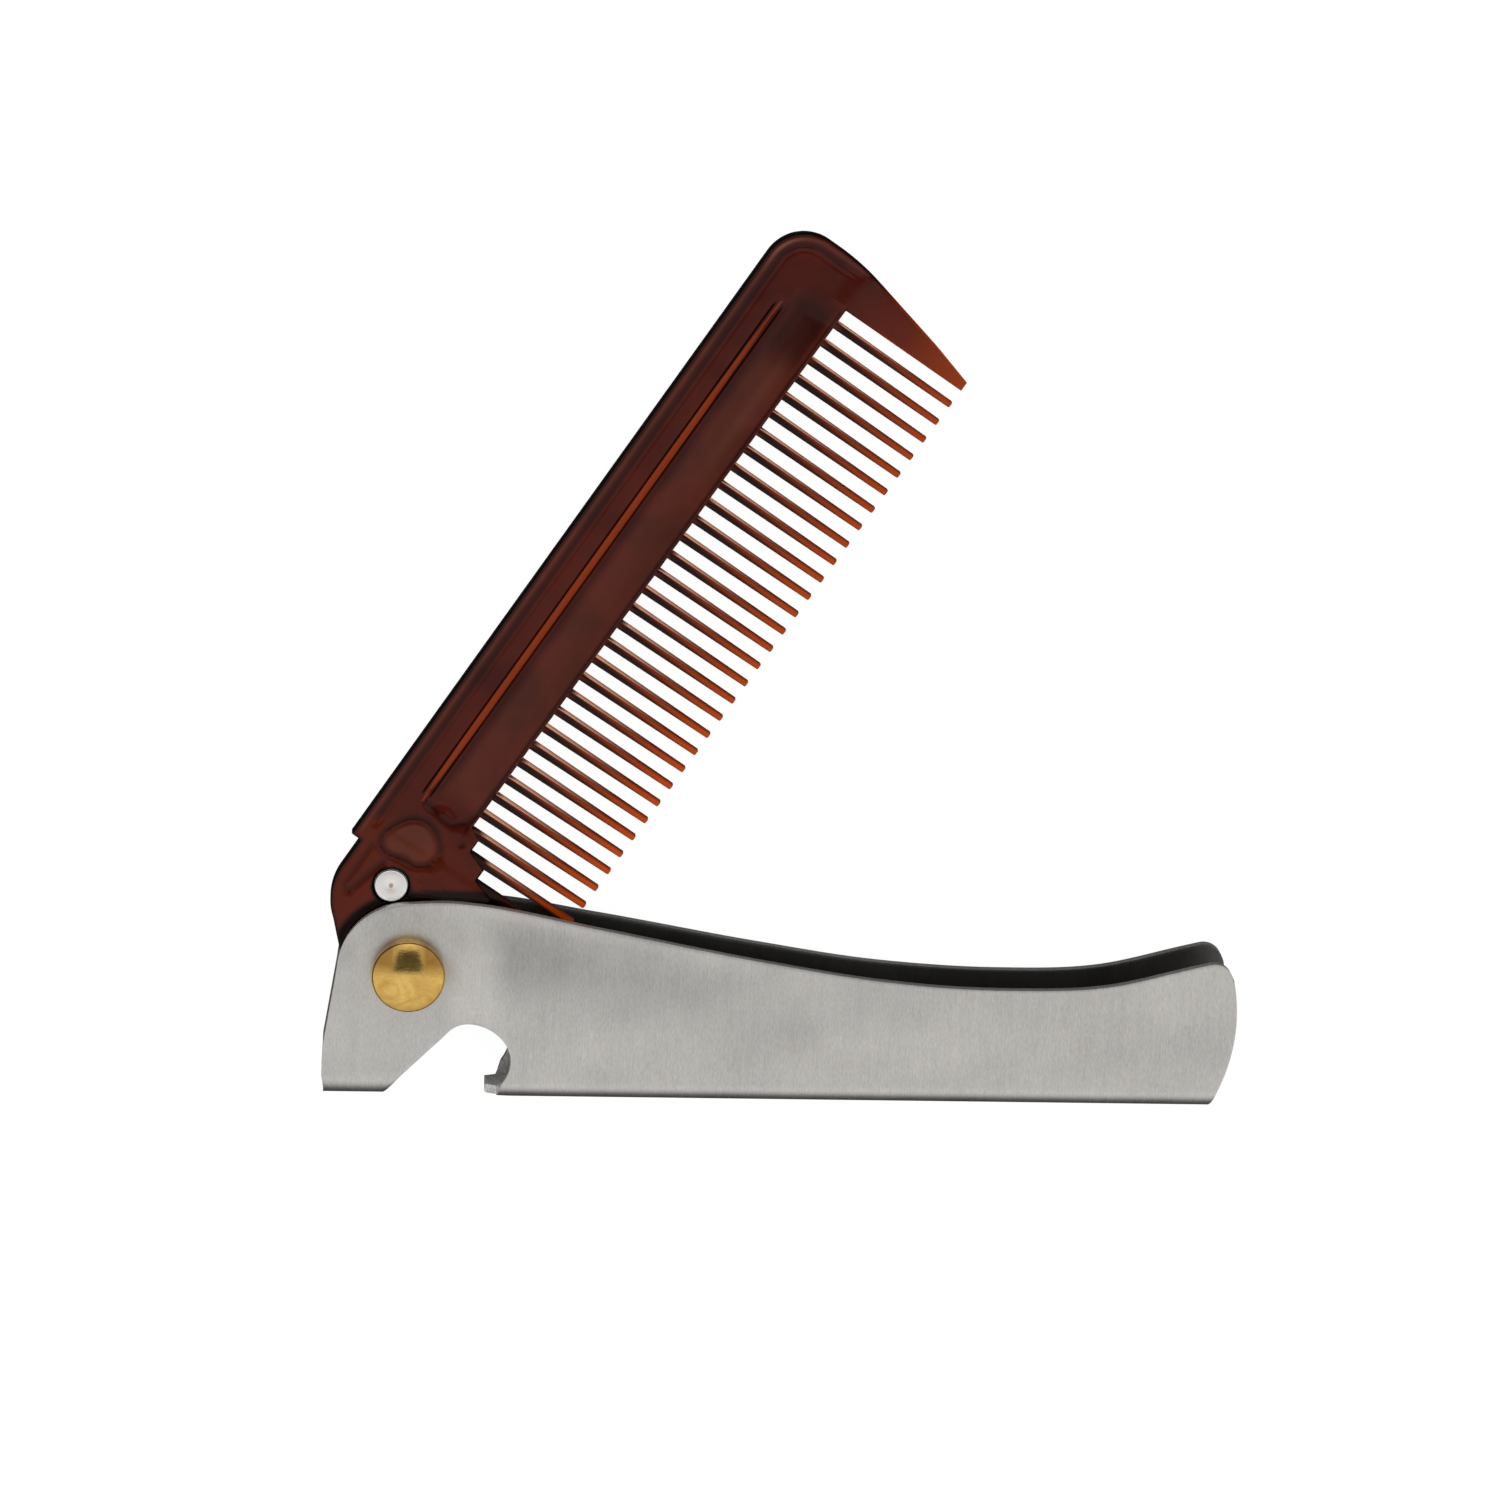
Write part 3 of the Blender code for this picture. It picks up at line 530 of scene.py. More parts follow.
def combGrid():
    # Columns run across the heel, then over each tooth and each gap, then over the guard tooth. Rows run
    # from the spine to the roots and on to the tips. Returns u, v, the solid cells and the count of body rows.
    c = comb
    heelColumns, toothColumns, gapColumns, guardColumns = 100, 8, 5, 22
    below = np.array([
        0, .05, .12, .2, .3, .42, .6, .8, 1.0, 1.15, 1.3, 1.45, 1.6, 1.75, 1.9, 2.05, 2.2, 2.4, 2.7, 2.95,
        3.2, 3.5, 3.8, 4.0, 4.15, 4.3, 4.42, 4.55, 4.75, 4.95, 5.1, 5.22, 5.35, 5.5, 5.7, 5.9, 6.1, 6.3,
        6.55, 6.8, 7.05, 7.35, 7.65, 7.95, 8.25, 8.55, 8.85, 9.15, 9.45, 9.8, 10.1,
    ])
    share = np.array([.1, .2, .3, .4, .48, .56, .64, .72, .79, .85, .90, .95, 1.0])
    cross = np.sin(np.linspace(-np.pi / 2, np.pi / 2, toothColumns + 1)) * 0.5
    roots = np.array([c["heelRoot"], *c["firstRoots"]] + [c["root"]] * (c["teeth"] - 2))
    centres = c["firstU"] + c["pitch"] * np.arange(c["teeth"])

    # The root line: level at each gap's end, and running across under each tooth
    u, v, tips, toothOf = [], [], [], []
    for k, centre in enumerate(centres):
        level = np.interp(cross, (-0.5, 0.5), roots[k:k + 2])
        u.append(centre + cross * c["rootWidth"])
        v.append(level)
        tips.append(centre + cross * c["tipWidth"])
        toothOf.append(np.full(len(cross), k))
        left = centre + c["rootWidth"] / 2
        right = centres[k + 1] - c["rootWidth"] / 2 if k + 1 < c["teeth"] else c["guardU"]
        inside = np.linspace(left, right, gapColumns + 1)[1:-1]
        u.append(inside)
        v.append(roots[k + 1] + 0 * inside)
        tips.append(inside)
        toothOf.append(np.full(len(inside), -1))
    rootU, rootV = np.concatenate(u), np.concatenate(v)
    tipU, toothOf = np.concatenate(tips), np.concatenate(toothOf)

    # Body rows: fixed distances from the spine, then shares of what is left up to the root line
    bodyV = c["spine"] + below
    rest = rootV[None, :] - bodyV[-1]
    middleV = np.concatenate([np.broadcast_to(bodyV[:, None], (len(bodyV), len(rootV))),
                              bodyV[-1] + share[:, None] * rest])
    middleU = np.broadcast_to(rootU, middleV.shape)
    # Tooth rows, closer together at the tip
    climb = np.concatenate([np.linspace(0.0, 0.985, 16)[1:], [0.992, 0.997, 1.0]])
    offset = np.abs(tipU - np.where(toothOf >= 0, centres[toothOf], 0)) / (c["tipWidth"] / 2)
    tipV = c["tip"] - c["tipRound"] * np.where(toothOf >= 0, offset**4, 0)
    toothV = rootV + climb[:, None] * (tipV - rootV)
    toothU = rootU + climb[:, None] * (tipU - rootU)
    middleU, middleV = np.concatenate([middleU, toothU]), np.concatenate([middleV, toothV])
    bodyRows = len(below) + len(share)
    rows = len(middleV)

    # Heel: from the arc's left end to the first tooth, between its lower and upper edge
    lower = np.concatenate([
        arc((0.0, 0.0), c["heelRadius"], 190.0, c["heelJoin"], 60)[:-1],
        arc(c["heelArc"], c["heelArc"][1] - c["heelBottom"], c["heelArcStart"], 270.0, 40),
        [(c["stepU"] - c["stepCorner"], c["heelBottom"])],
        [(c["stepU"], c["heelBottom"] - c["stepCorner"]), (c["stepU"], c["spine"]), (rootU[0], c["spine"])],
    ])
    upperArc = arc((0.0, 0.0), c["heelRadius"], 170.0, c["heelLast"], 90)
    upper = np.concatenate([upperArc, [(rootU[0], c["heelRoot"])]])
    left = arc((0.0, 0.0), c["heelRadius"], 190.0, 170.0, 30)
    rightLine = np.stack([middleU[:bodyRows, 0], middleV[:bodyRows, 0]], axis=-1)
    rise = (rightLine[:, 1] - rightLine[0, 1]) / (rightLine[-1, 1] - rightLine[0, 1])
    heel = patch(lower, upper, left, rightLine, np.linspace(0.0, 1.0, heelColumns + 1), rise)

    # Guard tooth: from its straight inner edge to the rounded outer one
    far, bend = (c["farU"], c["spine"]), (c["farU"], c["farBend"])
    guardOuter = c["guardU"] + c["guardTip"]
    second, tipPoint = (guardOuter + c["guardBendOut"], c["guardBendV"]), (guardOuter, c["tip"])
    corner = roundedCorner((0.0, c["spine"]), far, bend, c["farCorner"], 41)
    outer = np.concatenate([corner[20:], roundedCorner(far, bend, second, c["farBendRadius"], 20),
                            roundedCorner(bend, second, tipPoint, c["guardBendRadius"], 20), [tipPoint]])
    foot = np.concatenate([[(c["guardU"], c["spine"])], corner[:21]])
    inner = np.stack([np.full(rows, c["guardU"]), np.concatenate([middleV[:bodyRows, -1], c["root"]
                      + climb * (c["tip"] - c["root"])])], axis=-1)
    riseGuard = (inner[:, 1] - inner[0, 1]) / (inner[-1, 1] - inner[0, 1])
    tipEdge = np.array([inner[-1], tipPoint])
    guardShares = np.linspace(0.0, 1.0, guardColumns + 1)
    guard = patch(foot, tipEdge, inner, outer, guardShares, riseGuard)

    u = np.full((rows, heelColumns + len(rootU) + guardColumns + 1), np.nan)
    v = u.copy()
    u[:bodyRows, :heelColumns], v[:bodyRows, :heelColumns] = heel[:, :-1, 0], heel[:, :-1, 1]
    middle = slice(heelColumns, heelColumns + len(rootU))
    u[:, middle], v[:, middle] = middleU, middleV
    u[:, middle.stop:], v[:, middle.stop:] = guard[..., 0], guard[..., 1]
    solid = np.zeros((rows - 1, u.shape[1] - 1), bool)
    solid[:bodyRows - 1] = True
    both = np.concatenate([np.full(heelColumns, -1), toothOf, np.full(guardColumns + 1, c["teeth"])])
    solid[bodyRows - 1:] = (both[:-1] == both[1:]) & (both[:-1] >= 0)
    return u, v, solid, bodyRows


def patch(lower, upper, left, right, across, rise):
    # a surface between four edges: the two ruled surfaces added, less the bilinear one of the corners
    columns, rows = len(across), len(rise)
    a, t = across[None, :, None], np.asarray(rise)[:, None, None]
    low, high = alongLine(lower, across)[None], alongLine(upper, across)[None]
    leftEdge = left if len(left) == rows else alongLine(left, rise)
    rightEdge = right if len(right) == rows else alongLine(right, rise)
    ruled = (1 - t) * low + t * high + (1 - a) * leftEdge[:, None] + a * rightEdge[:, None]
    corners = (1 - t) * ((1 - a) * lower[0] + a * lower[-1]) + t * ((1 - a) * upper[0] + a * upper[-1])
    return ruled - corners


def outlineDistance(u, v, solid):
    # the distance of each grid point from the nearest point of the outline, and which points are used
    far, reach, longest, blocks = 9.0, 1.5, 2.5, 600
    padded = np.pad(solid, 1)
    count = padded[:-1, :-1].astype(int) + padded[1:, :-1] + padded[:-1, 1:] + padded[1:, 1:]
    onEdge = (count > 0) & (count < 4)
    edgeLines = []
    for first, second in ((np.s_[:-1, :], np.s_[1:, :]), (np.s_[:, :-1], np.s_[:, 1:])):
        near = onEdge[first] & onEdge[second]
        p = np.stack([u[first][near], v[first][near]], axis=-1)
        q = np.stack([u[second][near], v[second][near]], axis=-1)
        short = np.linalg.norm(p - q, axis=1) < longest
        share = np.linspace(0.0, 1.0, 8)[:, None, None]
        edgeLines.append((p[short] * (1 - share) + q[short] * share).reshape(-1, 2))
    samples = np.concatenate(edgeLines)
    samples = samples[np.argsort(samples[:, 0])]
    used = count > 0
    where = np.stack([u[used], v[used]], axis=-1)
    order = np.argsort(where[:, 0])
    nearest = np.full(len(where), far)
    for block in np.array_split(order, blocks):
        low, high = where[block, 0].min() - reach, where[block, 0].max() + reach
        part = samples[np.searchsorted(samples[:, 0], low):np.searchsorted(samples[:, 0], high)]
        if len(part):
            gap = np.linalg.norm(where[block][:, None] - part[None], axis=-1)
            nearest[block] = np.minimum(gap.min(axis=1), far)
    distance = np.full(u.shape, far)
    distance[used] = nearest
    distance[onEdge] = 0.0
    return distance, used


def relief(v):
    # half thickness over the body, straight between points (v, half) from the spine to the roots
    bars = np.array([
        (-15.6, 1.2), (-15.15, 1.2), (-14.75, 1.13), (-14.35, 0.98), (-13.95, 0.82), (-13.75, 0.92),
        (-13.5, 1.06), (-13.3, 1.08), (-11.9, 1.08), (-11.5, 1.0), (-11.3, 0.62), (-11.15, 0.52),
        (-10.55, 0.52), (-10.4, 0.62), (-10.25, 0.98), (-10.0, 1.0), (-9.5, 0.84), (-9.0, 0.76),
        (-7.6, 0.74), (-6.2, 0.80), (-5.4, 0.86), (-4.9, 0.90), (-4.3, 0.94), (-3.6, 0.98),
    ])
    return np.interp(v, bars[:, 0], bars[:, 1])


def inset(u, v):
    # distance inward from the spine, round the far corner and along the far end, given as the v of a point
    # that far in from the spine's line
    c = comb
    cornerU, cornerV = c["farU"] - c["farCorner"], c["spine"] + c["farCorner"]
    beyond = np.where(v < cornerV, c["farCorner"] - np.hypot(u - cornerU, v - cornerV), c["farU"] - u)
    return np.where(u > cornerU, beyond, v - c["spine"]) + c["spine"]


def beyondBoss(u, v):
    # how far a point lies outside the heel's boss, a closed line through its points, smoothed
    bossU, bossV = 14.0, -8.8
    angle = np.arctan2(v - bossV, u - bossU)
    turns = np.linspace(0.0, 2 * np.pi, 241)
    knots = np.array(comb["boss"]) - (bossU, bossV)
    knotAngle, knotReach = np.arctan2(knots[:, 1], knots[:, 0]), np.hypot(knots[:, 0], knots[:, 1])
    order = np.argsort(knotAngle)
    ringed = np.interp(turns - np.pi, knotAngle[order], knotReach[order], period=2 * np.pi)
    ringed = np.real(np.fft.ifft(np.fft.fft(ringed[:-1]) * (np.abs(np.fft.fftfreq(240)) < 5.5 / 240)))
    return np.hypot(u - bossU, v - bossV) - np.interp(angle, turns - np.pi, np.append(ringed, ringed[0]))


def stroke(u, v, line, width):
    # 1 on a line through points, falling off to both sides as a bell of that width
    line = np.array(line)
    nearest = np.full(np.shape(u), 99.0)
    for (au, av), (bu, bv) in zip(line[:-1], line[1:]):
        along = (u - au) * (bu - au) + (v - av) * (bv - av)
        share = np.clip(along / ((bu - au) ** 2 + (bv - av) ** 2), 0.0, 1.0)
        nearest = np.minimum(nearest, np.hypot(u - au - share * (bu - au), v - av - share * (bv - av)))
    return np.exp(-(nearest / width) ** 2)


def combHeight(u, v, distance, row, bodyRows):
    c = comb
    full = c["half"]
    around = inset(u, v)
    profile = relief(v)
    lineFade = smoothStep((u - 18.8) / 1.6) * smoothStep((95.0 - u) / 2.5)
    spineFade = smoothStep((u - 12.4) / 1.8) * np.where(u > 98.0, smoothStep((-4.0 - v) / 2.5), 1.0)
    scoopFade = smoothStep((u - 18.4 + 0.25 * np.abs(v + 7.6)) / 1.6) * smoothStep((97.0 - u) / 2.2)
    height = np.full(u.shape, full)
    spineZone = around < -12.6
    lineZone = (v >= -11.9) & (v < -10.12)
    scoopZone = v >= -10.12
    height = np.where(spineZone, full + (relief(around) - full) * spineFade, height)
    height = np.where(~spineZone, 1.08 + 0.12 * (1 - spineFade), height)
    height = np.where(lineZone, height + (profile - 1.08) * lineFade, height)
    height = np.where(scoopZone, height + (profile - 1.08) * scoopFade, height)
    # boss on the heel, ringed by a groove, and the strokes of the mould
    height = height - 0.26 * np.exp(-((beyondBoss(u, v) - 0.42) / 0.42) ** 2) * smoothStep((19.5 - u) / 1.2)
    for line, width, weight in comb["strokes"]:
        height = height - 0.2 * weight * stroke(u, v, line, width)
    # a tongue between the walls: the heel's face rolls off towards the rivet
    height = height - 0.3 * smoothStep((9.9 - np.hypot(u, v)) / 0.9)
    # a pit left by a bubble
    height = height - 0.22 * np.exp(-((u - 12.57) ** 2 + (v + 3.29) ** 2) / 0.05)
    # teeth thin towards their tips
    climb = np.clip((v - c["root"]) / (c["tip"] - c["root"]), 0.0, 1.0)
    inTooth = row >= bodyRows - 1
    rootHalf = np.where(u > c["guardU"] - 0.01, full, 0.97)
    toothHalf = rootHalf + (c["tipHalf"] - rootHalf) * climb
    height = np.where(inTooth, toothHalf, height)
    # rounded rim: an ellipse over the rim's width
    guardOrBody = (u > c["guardU"] - 0.01) | ~inTooth
    rimWidth = np.where(guardOrBody, c["rim"], 0.25)
    rimDrop = np.where(guardOrBody, 0.34, 0.22) * np.minimum(height, 1.2) / 1.2
    near = np.clip(1 - distance / rimWidth, 0.0, 1.0)
    return height - rimDrop * (1 - np.sqrt(1 - near**2))


def combShell():
    # the two faces from the grid and its mirror image, and the walls along the outline
    u, v, solid, bodyRows = combGrid()
    distance, used = outlineDistance(u, v, solid)
    row = np.broadcast_to(np.arange(u.shape[0])[:, None], u.shape)
    height = np.zeros(u.shape)
    height[used] = combHeight(u[used], v[used], distance[used], row[used], bodyRows)
    number = np.full(u.shape, -1)
    number[used] = np.arange(used.sum())
    flat = np.stack([u[used], v[used]], axis=-1)
    z = height[used]
    points = np.concatenate([toFrame(flat[:, 0], flat[:, 1], z), toFrame(flat[:, 0], flat[:, 1], -z)])
    count = used.sum()
    cells = np.stack([number[:-1, :-1], number[:-1, 1:], number[1:, 1:], number[1:, :-1]], axis=-1)[solid]
    faces = [cells, cells[:, ::-1] + count]
    padded = np.pad(solid, 1)
    for a, b, pair in ((padded[1:-1, :-1], padded[1:-1, 1:], (number[:-1, :], number[1:, :])),
                       (padded[:-1, 1:-1], padded[1:, 1:-1], (number[:, :-1], number[:, 1:]))):
        wall = a != b
        p, q = pair[0][wall], pair[1][wall]
        faces.append(np.stack([p, q, q + count, p + count], axis=-1))
    return points, np.concatenate(faces)


def bodyOutline():
    # the heel's left side, the step, the spine and the far corner
    c = comb
    return np.concatenate([
        arc((0.0, 0.0), c["heelRadius"], 150.0, c["heelJoin"], 24),
        arc(c["heelArc"], c["heelArc"][1] - c["heelBottom"], c["heelArcStart"], 270.0, 16),
        [(c["stepU"], c["heelBottom"]), (c["stepU"], c["spine"]), (c["farU"] - c["farCorner"], c["spine"])],
        arc((c["farU"] - c["farCorner"], c["spine"] + c["farCorner"]), c["farCorner"], -90.0, -10.0, 12),
    ])


def firstLit(u):
    # the level from which the upper flanks of the first teeth catch the light
    return np.interp(u, (14.4, 15.6, 17.0, 18.2, 19.6, 20.8), (99.0, 0.3, 0.3, -2.7, -2.7, -9.0))


def toothClimb(u, v):
    # 0 at the roots and 1 at the tips, on the teeth and the guard only
    c = comb
    half = c["rootWidth"] / 2
    first = [c["firstU"] + c["pitch"] * k + side for k in range(3) for side in (-half, half)]
    levels = [c["heelRoot"], c["firstRoots"][0], *c["firstRoots"], c["firstRoots"][1], c["root"]]
    root = np.interp(u, first, levels)
    return np.clip((v - root) / (c["tip"] - root), 0.0, 1.0) * (u > first[0] - 0.02)


def acrossTooth(u, climb):
    # -1 on a tooth's lower flank and 1 on its upper one
    c = comb
    centre = c["firstU"] + c["pitch"] * np.clip(np.round((u - c["firstU"]) / c["pitch"]), 0, c["teeth"] - 1)
    return (u - centre) / (0.5 * (c["rootWidth"] + (c["tipWidth"] - c["rootWidth"]) * climb))


def paintedBacklight(u, v, side):
    # painted light coming through the thin plastic: the centre line, the teeth towards their tips and the
    # guard's outer edge
    width = 0.5 * np.clip(np.minimum((u - 18.6) / 14.0, (94.5 - u) / 26.0), 0.0, 1.0) ** 0.6
    line = smoothStep((width - np.abs(v + 10.85)) / 0.14 + 0.5) * (width > 0.02)
    climb = toothClimb(u, v)
    guard = 0.5 * climb**1.8 + side * smoothStep(climb * 3) * 0.5
    slender = (0.05 + 0.85 * climb**1.4) * (1.1 - 0.004 * u)
    tooth = np.where(u > comb["guardU"] - 0.02, guard, slender) * (climb > 0)
    heel = 0.05 * smoothStep((19.0 - u) / 6.0)
    return np.maximum.reduce([0.42 * line, tooth, heel])


def paintedShade(u, v, side):
    # painted shade, near-black: side faces, the undersides of the teeth, the grooves, the bore's wall and the
    # tongue between the walls
    climb = toothClimb(u, v)
    isTooth, isGuard = (climb > 0) & (u < comb["guardU"] - 0.02), u > comb["guardU"] - 0.02
    across = acrossTooth(u, climb)
    lower = smoothStep((0.75 - 1.75 * climb - across) / 0.6 + 0.5) * (0.97 - 0.3 * climb)
    upper = 0.5 * isTooth * smoothStep((across - 0.45) / 0.4) * smoothStep((climb - 0.3) / 0.3)
    stub = 0.85 * isTooth * smoothStep((firstLit(u) - v) / 0.4)
    edge = np.where(isTooth, lower, side * np.where(isGuard, 1 - smoothStep(climb * 3), 1.0))
    bore = np.hypot(u - pin["u"], v - pin["v"]) < pin["bore"] + 0.2
    x, y = swapFrames(u, v)
    # painted shadow of the steel walls: a ring round the rivet and a strip along the handle's top edge
    tongue = np.maximum(smoothStep((10.4 - np.hypot(u, v)) / 0.6),
                        smoothStep((10.5 - y) / 0.5) * smoothStep((x - 0.5) / 1.5)) * (climb <= 0)
    ring = 0.62 * np.exp(-((beyondBoss(u, v) - 0.45) / 0.42) ** 2) * smoothStep((19.5 - u) / 1.2)
    outline = 0.95 * stroke(u, v, bodyOutline(), 0.34)
    strokes = np.maximum.reduce([
        weight * stroke(u, v, line, width) for line, width, weight in comb["strokes"]])
    # the same painted shadow at the heel's lower corner, beside the handle's edge
    corner = smoothStep(((v + 1.6 - 1.68 * (u - 9.7)) / 1.955 + 1.25) / 0.8)
    corner = corner * (v > -3.5) * ~isTooth * (u < 20)
    spine = np.exp(-((inset(u, v) + 14.15) / 0.38) ** 2)
    spine = spine * smoothStep((u - 13.0) / 2.0) * smoothStep((-6.0 - v) / 2.0)
    step = np.exp(-((v + 9.85) / 0.3) ** 2) * smoothStep((u - 19.0) / 3.0) * smoothStep((96.0 - u) / 3.0)
    roots = np.exp(-((v + 4.25) / 0.14) ** 2) * smoothStep((u - 17.0) / 2.0) * smoothStep((97.5 - u) / 0.5)
    scoopEnd = smoothStep((u - 86.0) / 5.0) * smoothStep((98.0 - u) / 2.5) * smoothStep((v + 10.0) / 1.5)
    scoopEnd = scoopEnd * smoothStep((-4.4 - v) / 0.8)
    return np.maximum.reduce([
        edge, bore * 1.0, tongue * 0.96, corner * 0.92, 0.6 * spine, 0.5 * step, 0.85 * roots,
        0.6 * scoopEnd, ring, strokes, outline, upper, stub,
    ])


def paintedHighlight(u, v, side):
    # painted highlight: the lit upper flank of each tooth, and faintly the boss, the spine's crest and the
    # scoop
    climb = toothClimb(u, v)
    flank = smoothStep((acrossTooth(u, climb) - 0.75) / 0.2) * np.clip(1.05 - 1.5 * climb, 0.0, 0.95)
    flank = flank * smoothStep((v - firstLit(u)) / 0.5)
    flank = flank * (climb > 0) * (u < comb["guardU"] - 0.02)
    boss = 0.028 * smoothStep(-beyondBoss(u, v) / 0.6) * (u < 18)
    crest = 0.03 + 0.1 * np.exp(-((u - 99.5) / 2.2) ** 2) * smoothStep((-12.0 - v) / 1.5)
    crest = crest * np.exp(-((inset(u, v) + 14.95) / 0.22) ** 2) * smoothStep((u - 11.0) / 1.0) * (v < -4.0)
    scoop = smoothStep((v + 9.4) / 0.8) * smoothStep((-4.3 - v) / 0.5) * smoothStep((u - 20.0) / 3.0)
    scoop = (0.016 + 0.02 * np.exp(-((v + 6.3) / 0.9) ** 2) * smoothStep((u - 66.0) / 12.0)) * scoop
    return np.maximum.reduce([flank, boss, crest, scoop * smoothStep((93.0 - u) / 8.0)])


def tortoiseshell():
    # dark red-brown moulded plastic, painted orange where it is thin as light shining through, with faint
    # clouds and a slightly wavy gloss; painted highlights with a faint painted glow, and painted near-black
    # shade
    finish = Finish(bpy.data.materials.new("tortoiseshell plastic"))
    cloud = finish.noise((0.12, 0.12, 0.12), 3.0, 0.55, 0.4)
    wave = finish.noise((0.22, 0.22, 0.22), 2.0, 0.5)
    speck = finish.noise((2.4, 2.4, 2.4), 2.0, 0.6)
    body = finish.mix(finish.rescale(cloud, 0.35, 0.7), (0.070, 0.0075, 0.0035), (0.122, 0.0145, 0.007))
    # painted light: orange where light would shine through the thin plastic
    color = finish.mix(finish.attribute("painted_backlight"), body, (0.80, 0.10, 0.002))
    # painted highlight: pale salmon on the lit tooth flanks, the boss, the crest and the scoop
    lit = finish.attribute("paintedHighlight")
    color = finish.mix(lit, color, (1.0, 0.60, 0.40))
    # painted shade: near-black wherever the dark marks are
    color = finish.mix(finish.attribute("dark"), color, (0.005, 0.0008, 0.0005))
    return finish.close({
        "Base Color": color,
        "Roughness": finish.rescale(speck * 0.5 + cloud * 0.5, 0.3, 0.7, 0.12, 0.22),
        "Normal": finish.bump(wave + speck * 0.05, 0.06, 0.5),
        "IOR": 1.45,
        "Specular IOR Level": 0.15,
        "Transmission Weight": 0.12,
        # painted light: a faint glow on the same marks, for light passing through the plastic
        "Emission Color": finish.mix(lit, (0.0, 0.0, 0.0), (1.0, 0.40, 0.24)),
        "Emission Strength": 0.22,
    })


points, faces = combShell()
plasticComb = makePiece("plastic_comb", points, faces, [tortoiseshell()], "comb", "comb")
cutRound(plasticComb, (0.0, 0.0), handle["boreRadius"], 4.0)
cutRound(plasticComb, toFrame(pin["u"], pin["v"], 0.0)[:2], pin["bore"], 4.0)
sharpen(plasticComb, 35)
markVertices(plasticComb, {"painted_backlight": paintedBacklight, "dark": paintedShade, "paintedHighlight": paintedHighlight})
print("comb:", len(plasticComb.data.polygons), "faces")


# Stop pin: a turned disc with a small centre mark

def pinProfile():
    # a shoulder that fills the bore, then a flat face with a rounded chamfer and a shallow round dimple
    r, h = pin["radius"], pin["half"]
    shoulder = pin["shoulder"]
    front = np.array([
        (shoulder, 0.0), (shoulder, h - 0.55), (r, h - 0.5), (r, h - 0.14), (r - 0.03, h - 0.06),
        (r - 0.09, h - 0.015), (r - 0.18, h), (0.5, h), (0.36, h - 0.03), (0.2, h - 0.13), (0.0, h - 0.17),
    ])
    return np.concatenate([front[::-1] * (1, -1), front[1:]])


def turnedSteel():
    # bright steel with faint rings round the pin's own axis, a brown stain in the dimple and a near-black
    # shoulder, painted shade for the gap round the pin
    finish = Finish(bpy.data.materials.new("bright turned steel"))
    middle = toFrame(pin["u"], pin["v"], 0.0) * mm + pivot
    coords = finish.node("ShaderNodeTexCoord", output="Object")
    centred = finish.node("ShaderNodeMapping", None, {"Vector": coords, "Location": tuple(-middle / mm),
                                                      "Scale": (1 / mm, 1 / mm, 1 / mm)})
    flat = finish.node("ShaderNodeVectorMath", {"operation": "MULTIPLY"}, {0: centred, 1: (1.0, 1.0, 0.0)})
    reach = finish.node("ShaderNodeVectorMath", {"operation": "LENGTH"}, {0: flat}, "Value")
    rings = finish.node("ShaderNodeMath", {"operation": "SINE"}, {0: reach * 14.0})
    dirt = finish.noise((1.6, 1.6, 1.6), 3.0, 0.6)
    stain = finish.rescale(reach + dirt * 0.3, 0.55, 0.35)
    bright = finish.mix(stain, (0.98, 0.975, 0.96), (0.60, 0.46, 0.34))
    # painted shade: the shoulder beyond the face's radius is near-black, as the gap in the bore would be
    gapShadeOnShoulder = finish.rescale(reach, pin["radius"] + 0.01, pin["radius"] + 0.04)
    return finish.close({
        "Base Color": finish.mix(gapShadeOnShoulder, bright, (0.01, 0.008, 0.007)),
        "Metallic": 1.0,
        "Roughness": finish.rescale(rings, -1.0, 1.0, 0.34, 0.42),
        "Normal": finish.bump(rings, 0.004, 0.2),
    })


points, faces = turned(pinProfile(), 96)
points[:, :2] += toFrame(pin["u"], pin["v"], 0.0)[:2]
steelPin = makePiece("steel_pin", points, faces, [turnedSteel()], "comb", "stop_pin")
sharpen(steelPin, 30)
print("pin:", len(steelPin.data.polygons), "faces")


# Studio: the camera, a pale floor and a white tent of light with a dark opening overhead

studio = {
    "cameraAt": (-0.052831, 0.151729, 0.58137), "lens": 117.2,
    "right": (0.99665, 0.03915, 0.07174), "up": (-0.01827, 0.96230, -0.27135),
    "back": (-0.0797, 0.2691, 0.9598),
    "light": 0.78, "dim": 0.02, "color": (1.0, 0.99, 0.975), "horizon": (0.05, 0.35),
    "frontHorizon": (0.08, 0.6),
    "opening": {"y": (-0.18, 0.412), "halfWidth": (0.40, 0.28), "soft": 0.06, "depth": 0.93},
}


def addCamera():
    camera = bpy.data.objects.new("camera", bpy.data.cameras.new("camera"))
    bpy.context.scene.collection.objects.link(camera)
    camera.data.sensor_width = 36.0
    camera.data.lens = studio["lens"]
    camera.data.clip_start = 0.01
    columns = [Vector(studio[name]).normalized() for name in ("right", "up", "back")]
    turn = Matrix(columns).transposed()
    camera.matrix_world = Matrix.Translation(studio["cameraAt"]) @ turn.to_4x4()
    bpy.context.scene.camera = camera


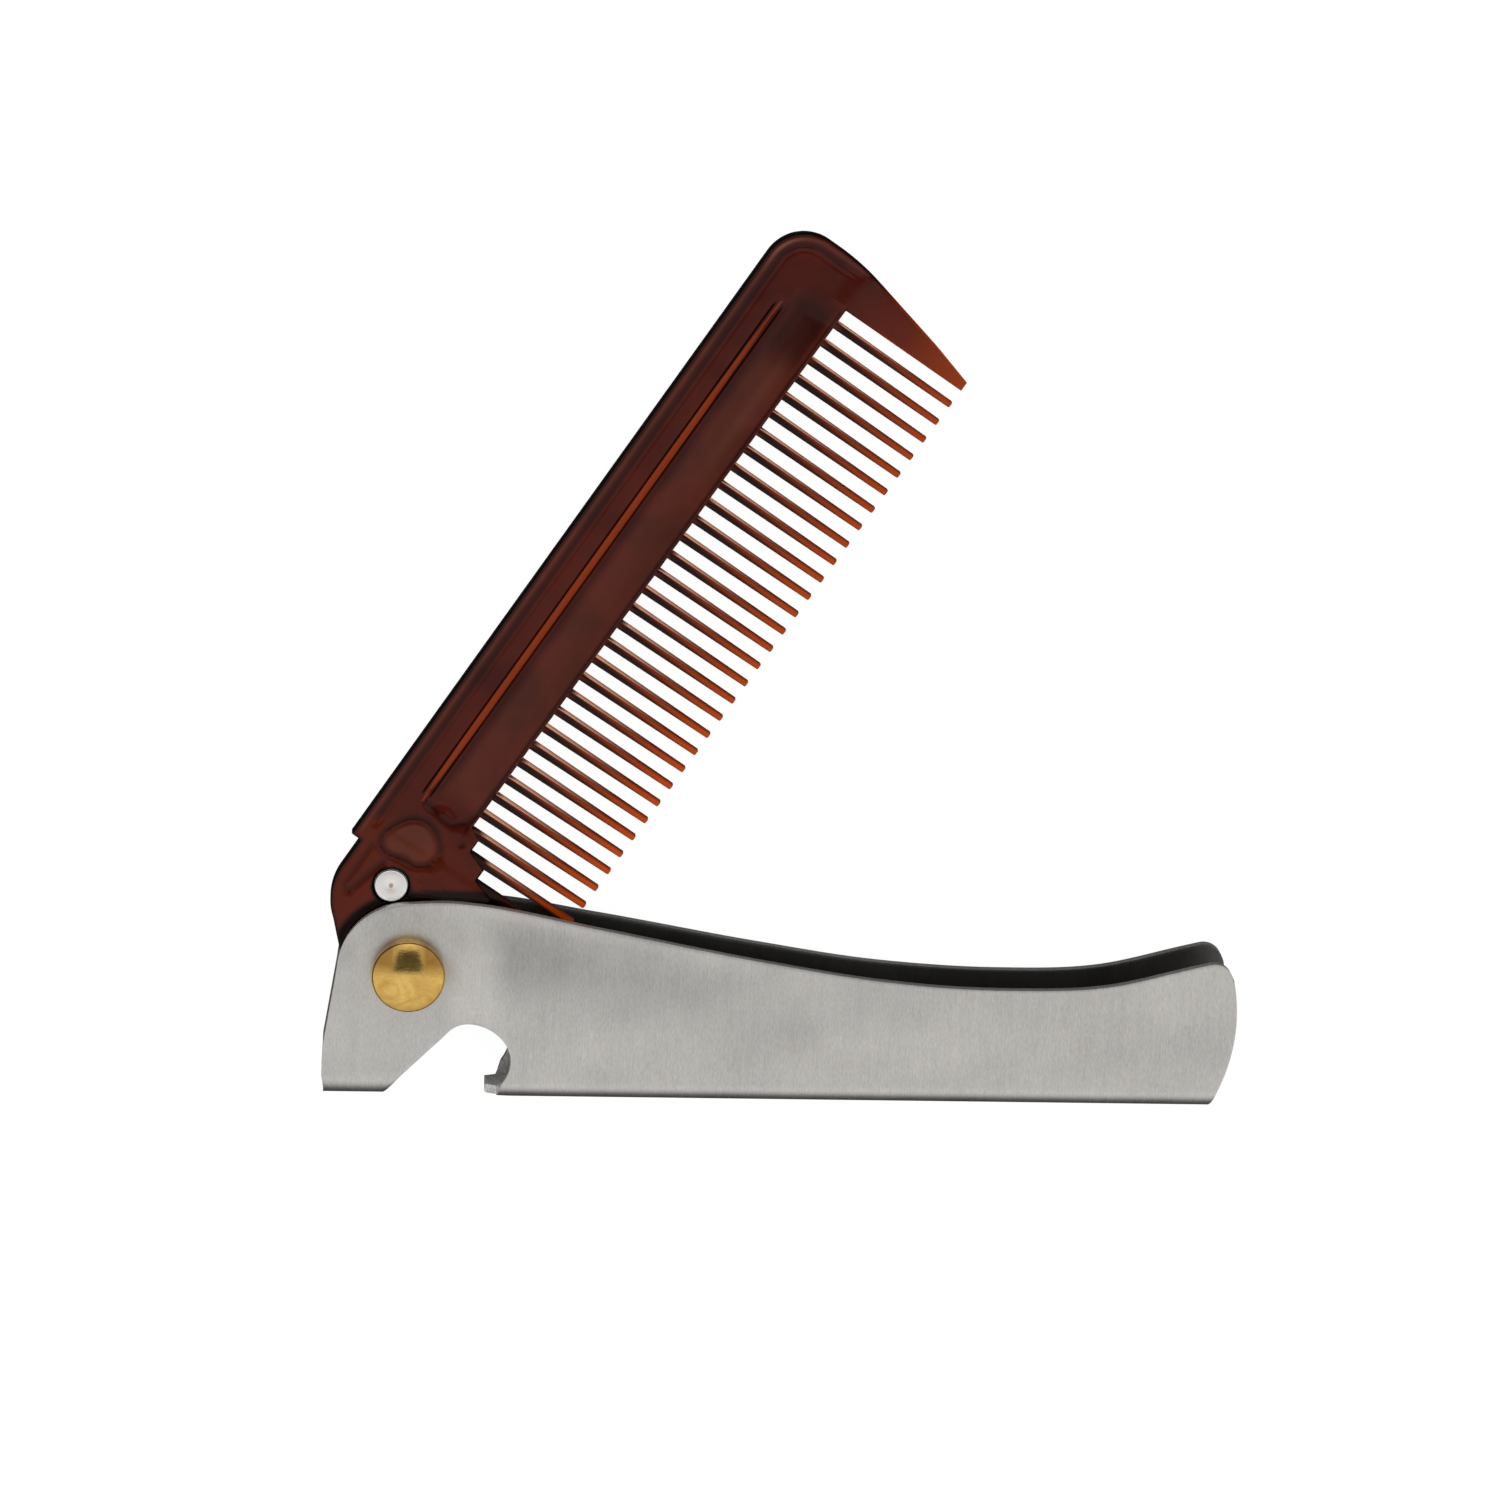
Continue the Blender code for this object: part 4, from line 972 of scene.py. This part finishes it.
def addFloor():
    # a pale sheet under the part, a little brighter than its light makes it
    size, low = 4.0, -0.0002
    mesh = bpy.data.meshes.new("floor")
    mesh.from_pydata([(-size, -size, low), (size, -size, low), (size, size, low), (-size, size, low)], [],
                     [(0, 1, 2, 3)])
    floor = bpy.data.objects.new("floor", mesh)
    bpy.context.scene.collection.objects.link(floor)
    finish = Finish(bpy.data.materials.new("pale floor"))
    mesh.materials.append(finish.close({"Base Color": (0.12, 0.12, 0.12, 1.0), "Roughness": 0.9,
                                        "Specular IOR Level": 0.0, "Emission Color": (1.0, 1.0, 1.0, 1.0),
                                        "Emission Strength": 0.96}))
    floor.visible_diffuse = False
    floor.visible_glossy = False


def addRoom():
    # A white tent: even light above the horizon, dark below it, and a dark trapezoid opening overhead.
    # A direction (x, y, z) meets the ceiling plane at (x / z, y / z), which places the opening.
    room = studio
    world = bpy.data.worlds.new("room")
    bpy.context.scene.world = world
    finish = Finish(world)
    coords = finish.node("ShaderNodeTexCoord", output="Generated")
    x, y, z = [finish.node("ShaderNodeSeparateXYZ", None, {0: coords}, k) for k in range(3)]
    front = finish.rescale(y, -0.1, -0.5)
    behind = finish.rescale(z, *room["horizon"]) * (1 - front)
    above = behind + finish.rescale(z, *room["frontHorizon"]) * front
    across, along = x / z, y / z
    low, high = room["opening"]["y"]
    halfWidth = finish.rescale(along, low, high, *room["opening"]["halfWidth"])
    soft = room["opening"]["soft"]
    sideways = finish.node("ShaderNodeMath", {"operation": "ABSOLUTE"}, {0: across})
    side = finish.rescale(halfWidth - sideways, 0.0, soft)
    bottom = finish.rescale(along, low, low + soft)
    top = finish.rescale(along, high, high - soft)
    opening = side * bottom * top * finish.rescale(z, 0.2, 0.3)
    light = above * (1 - room["opening"]["depth"] * opening) * room["light"] + room["dim"]
    background = finish.node("ShaderNodeBackground", None, {"Color": room["color"], "Strength": light})
    finish.node("ShaderNodeOutputWorld", None, {"Surface": background})


addCamera()
addFloor()
addRoom()
bpy.context.scene.view_settings.view_transform = "Standard"
print("studio is ready")
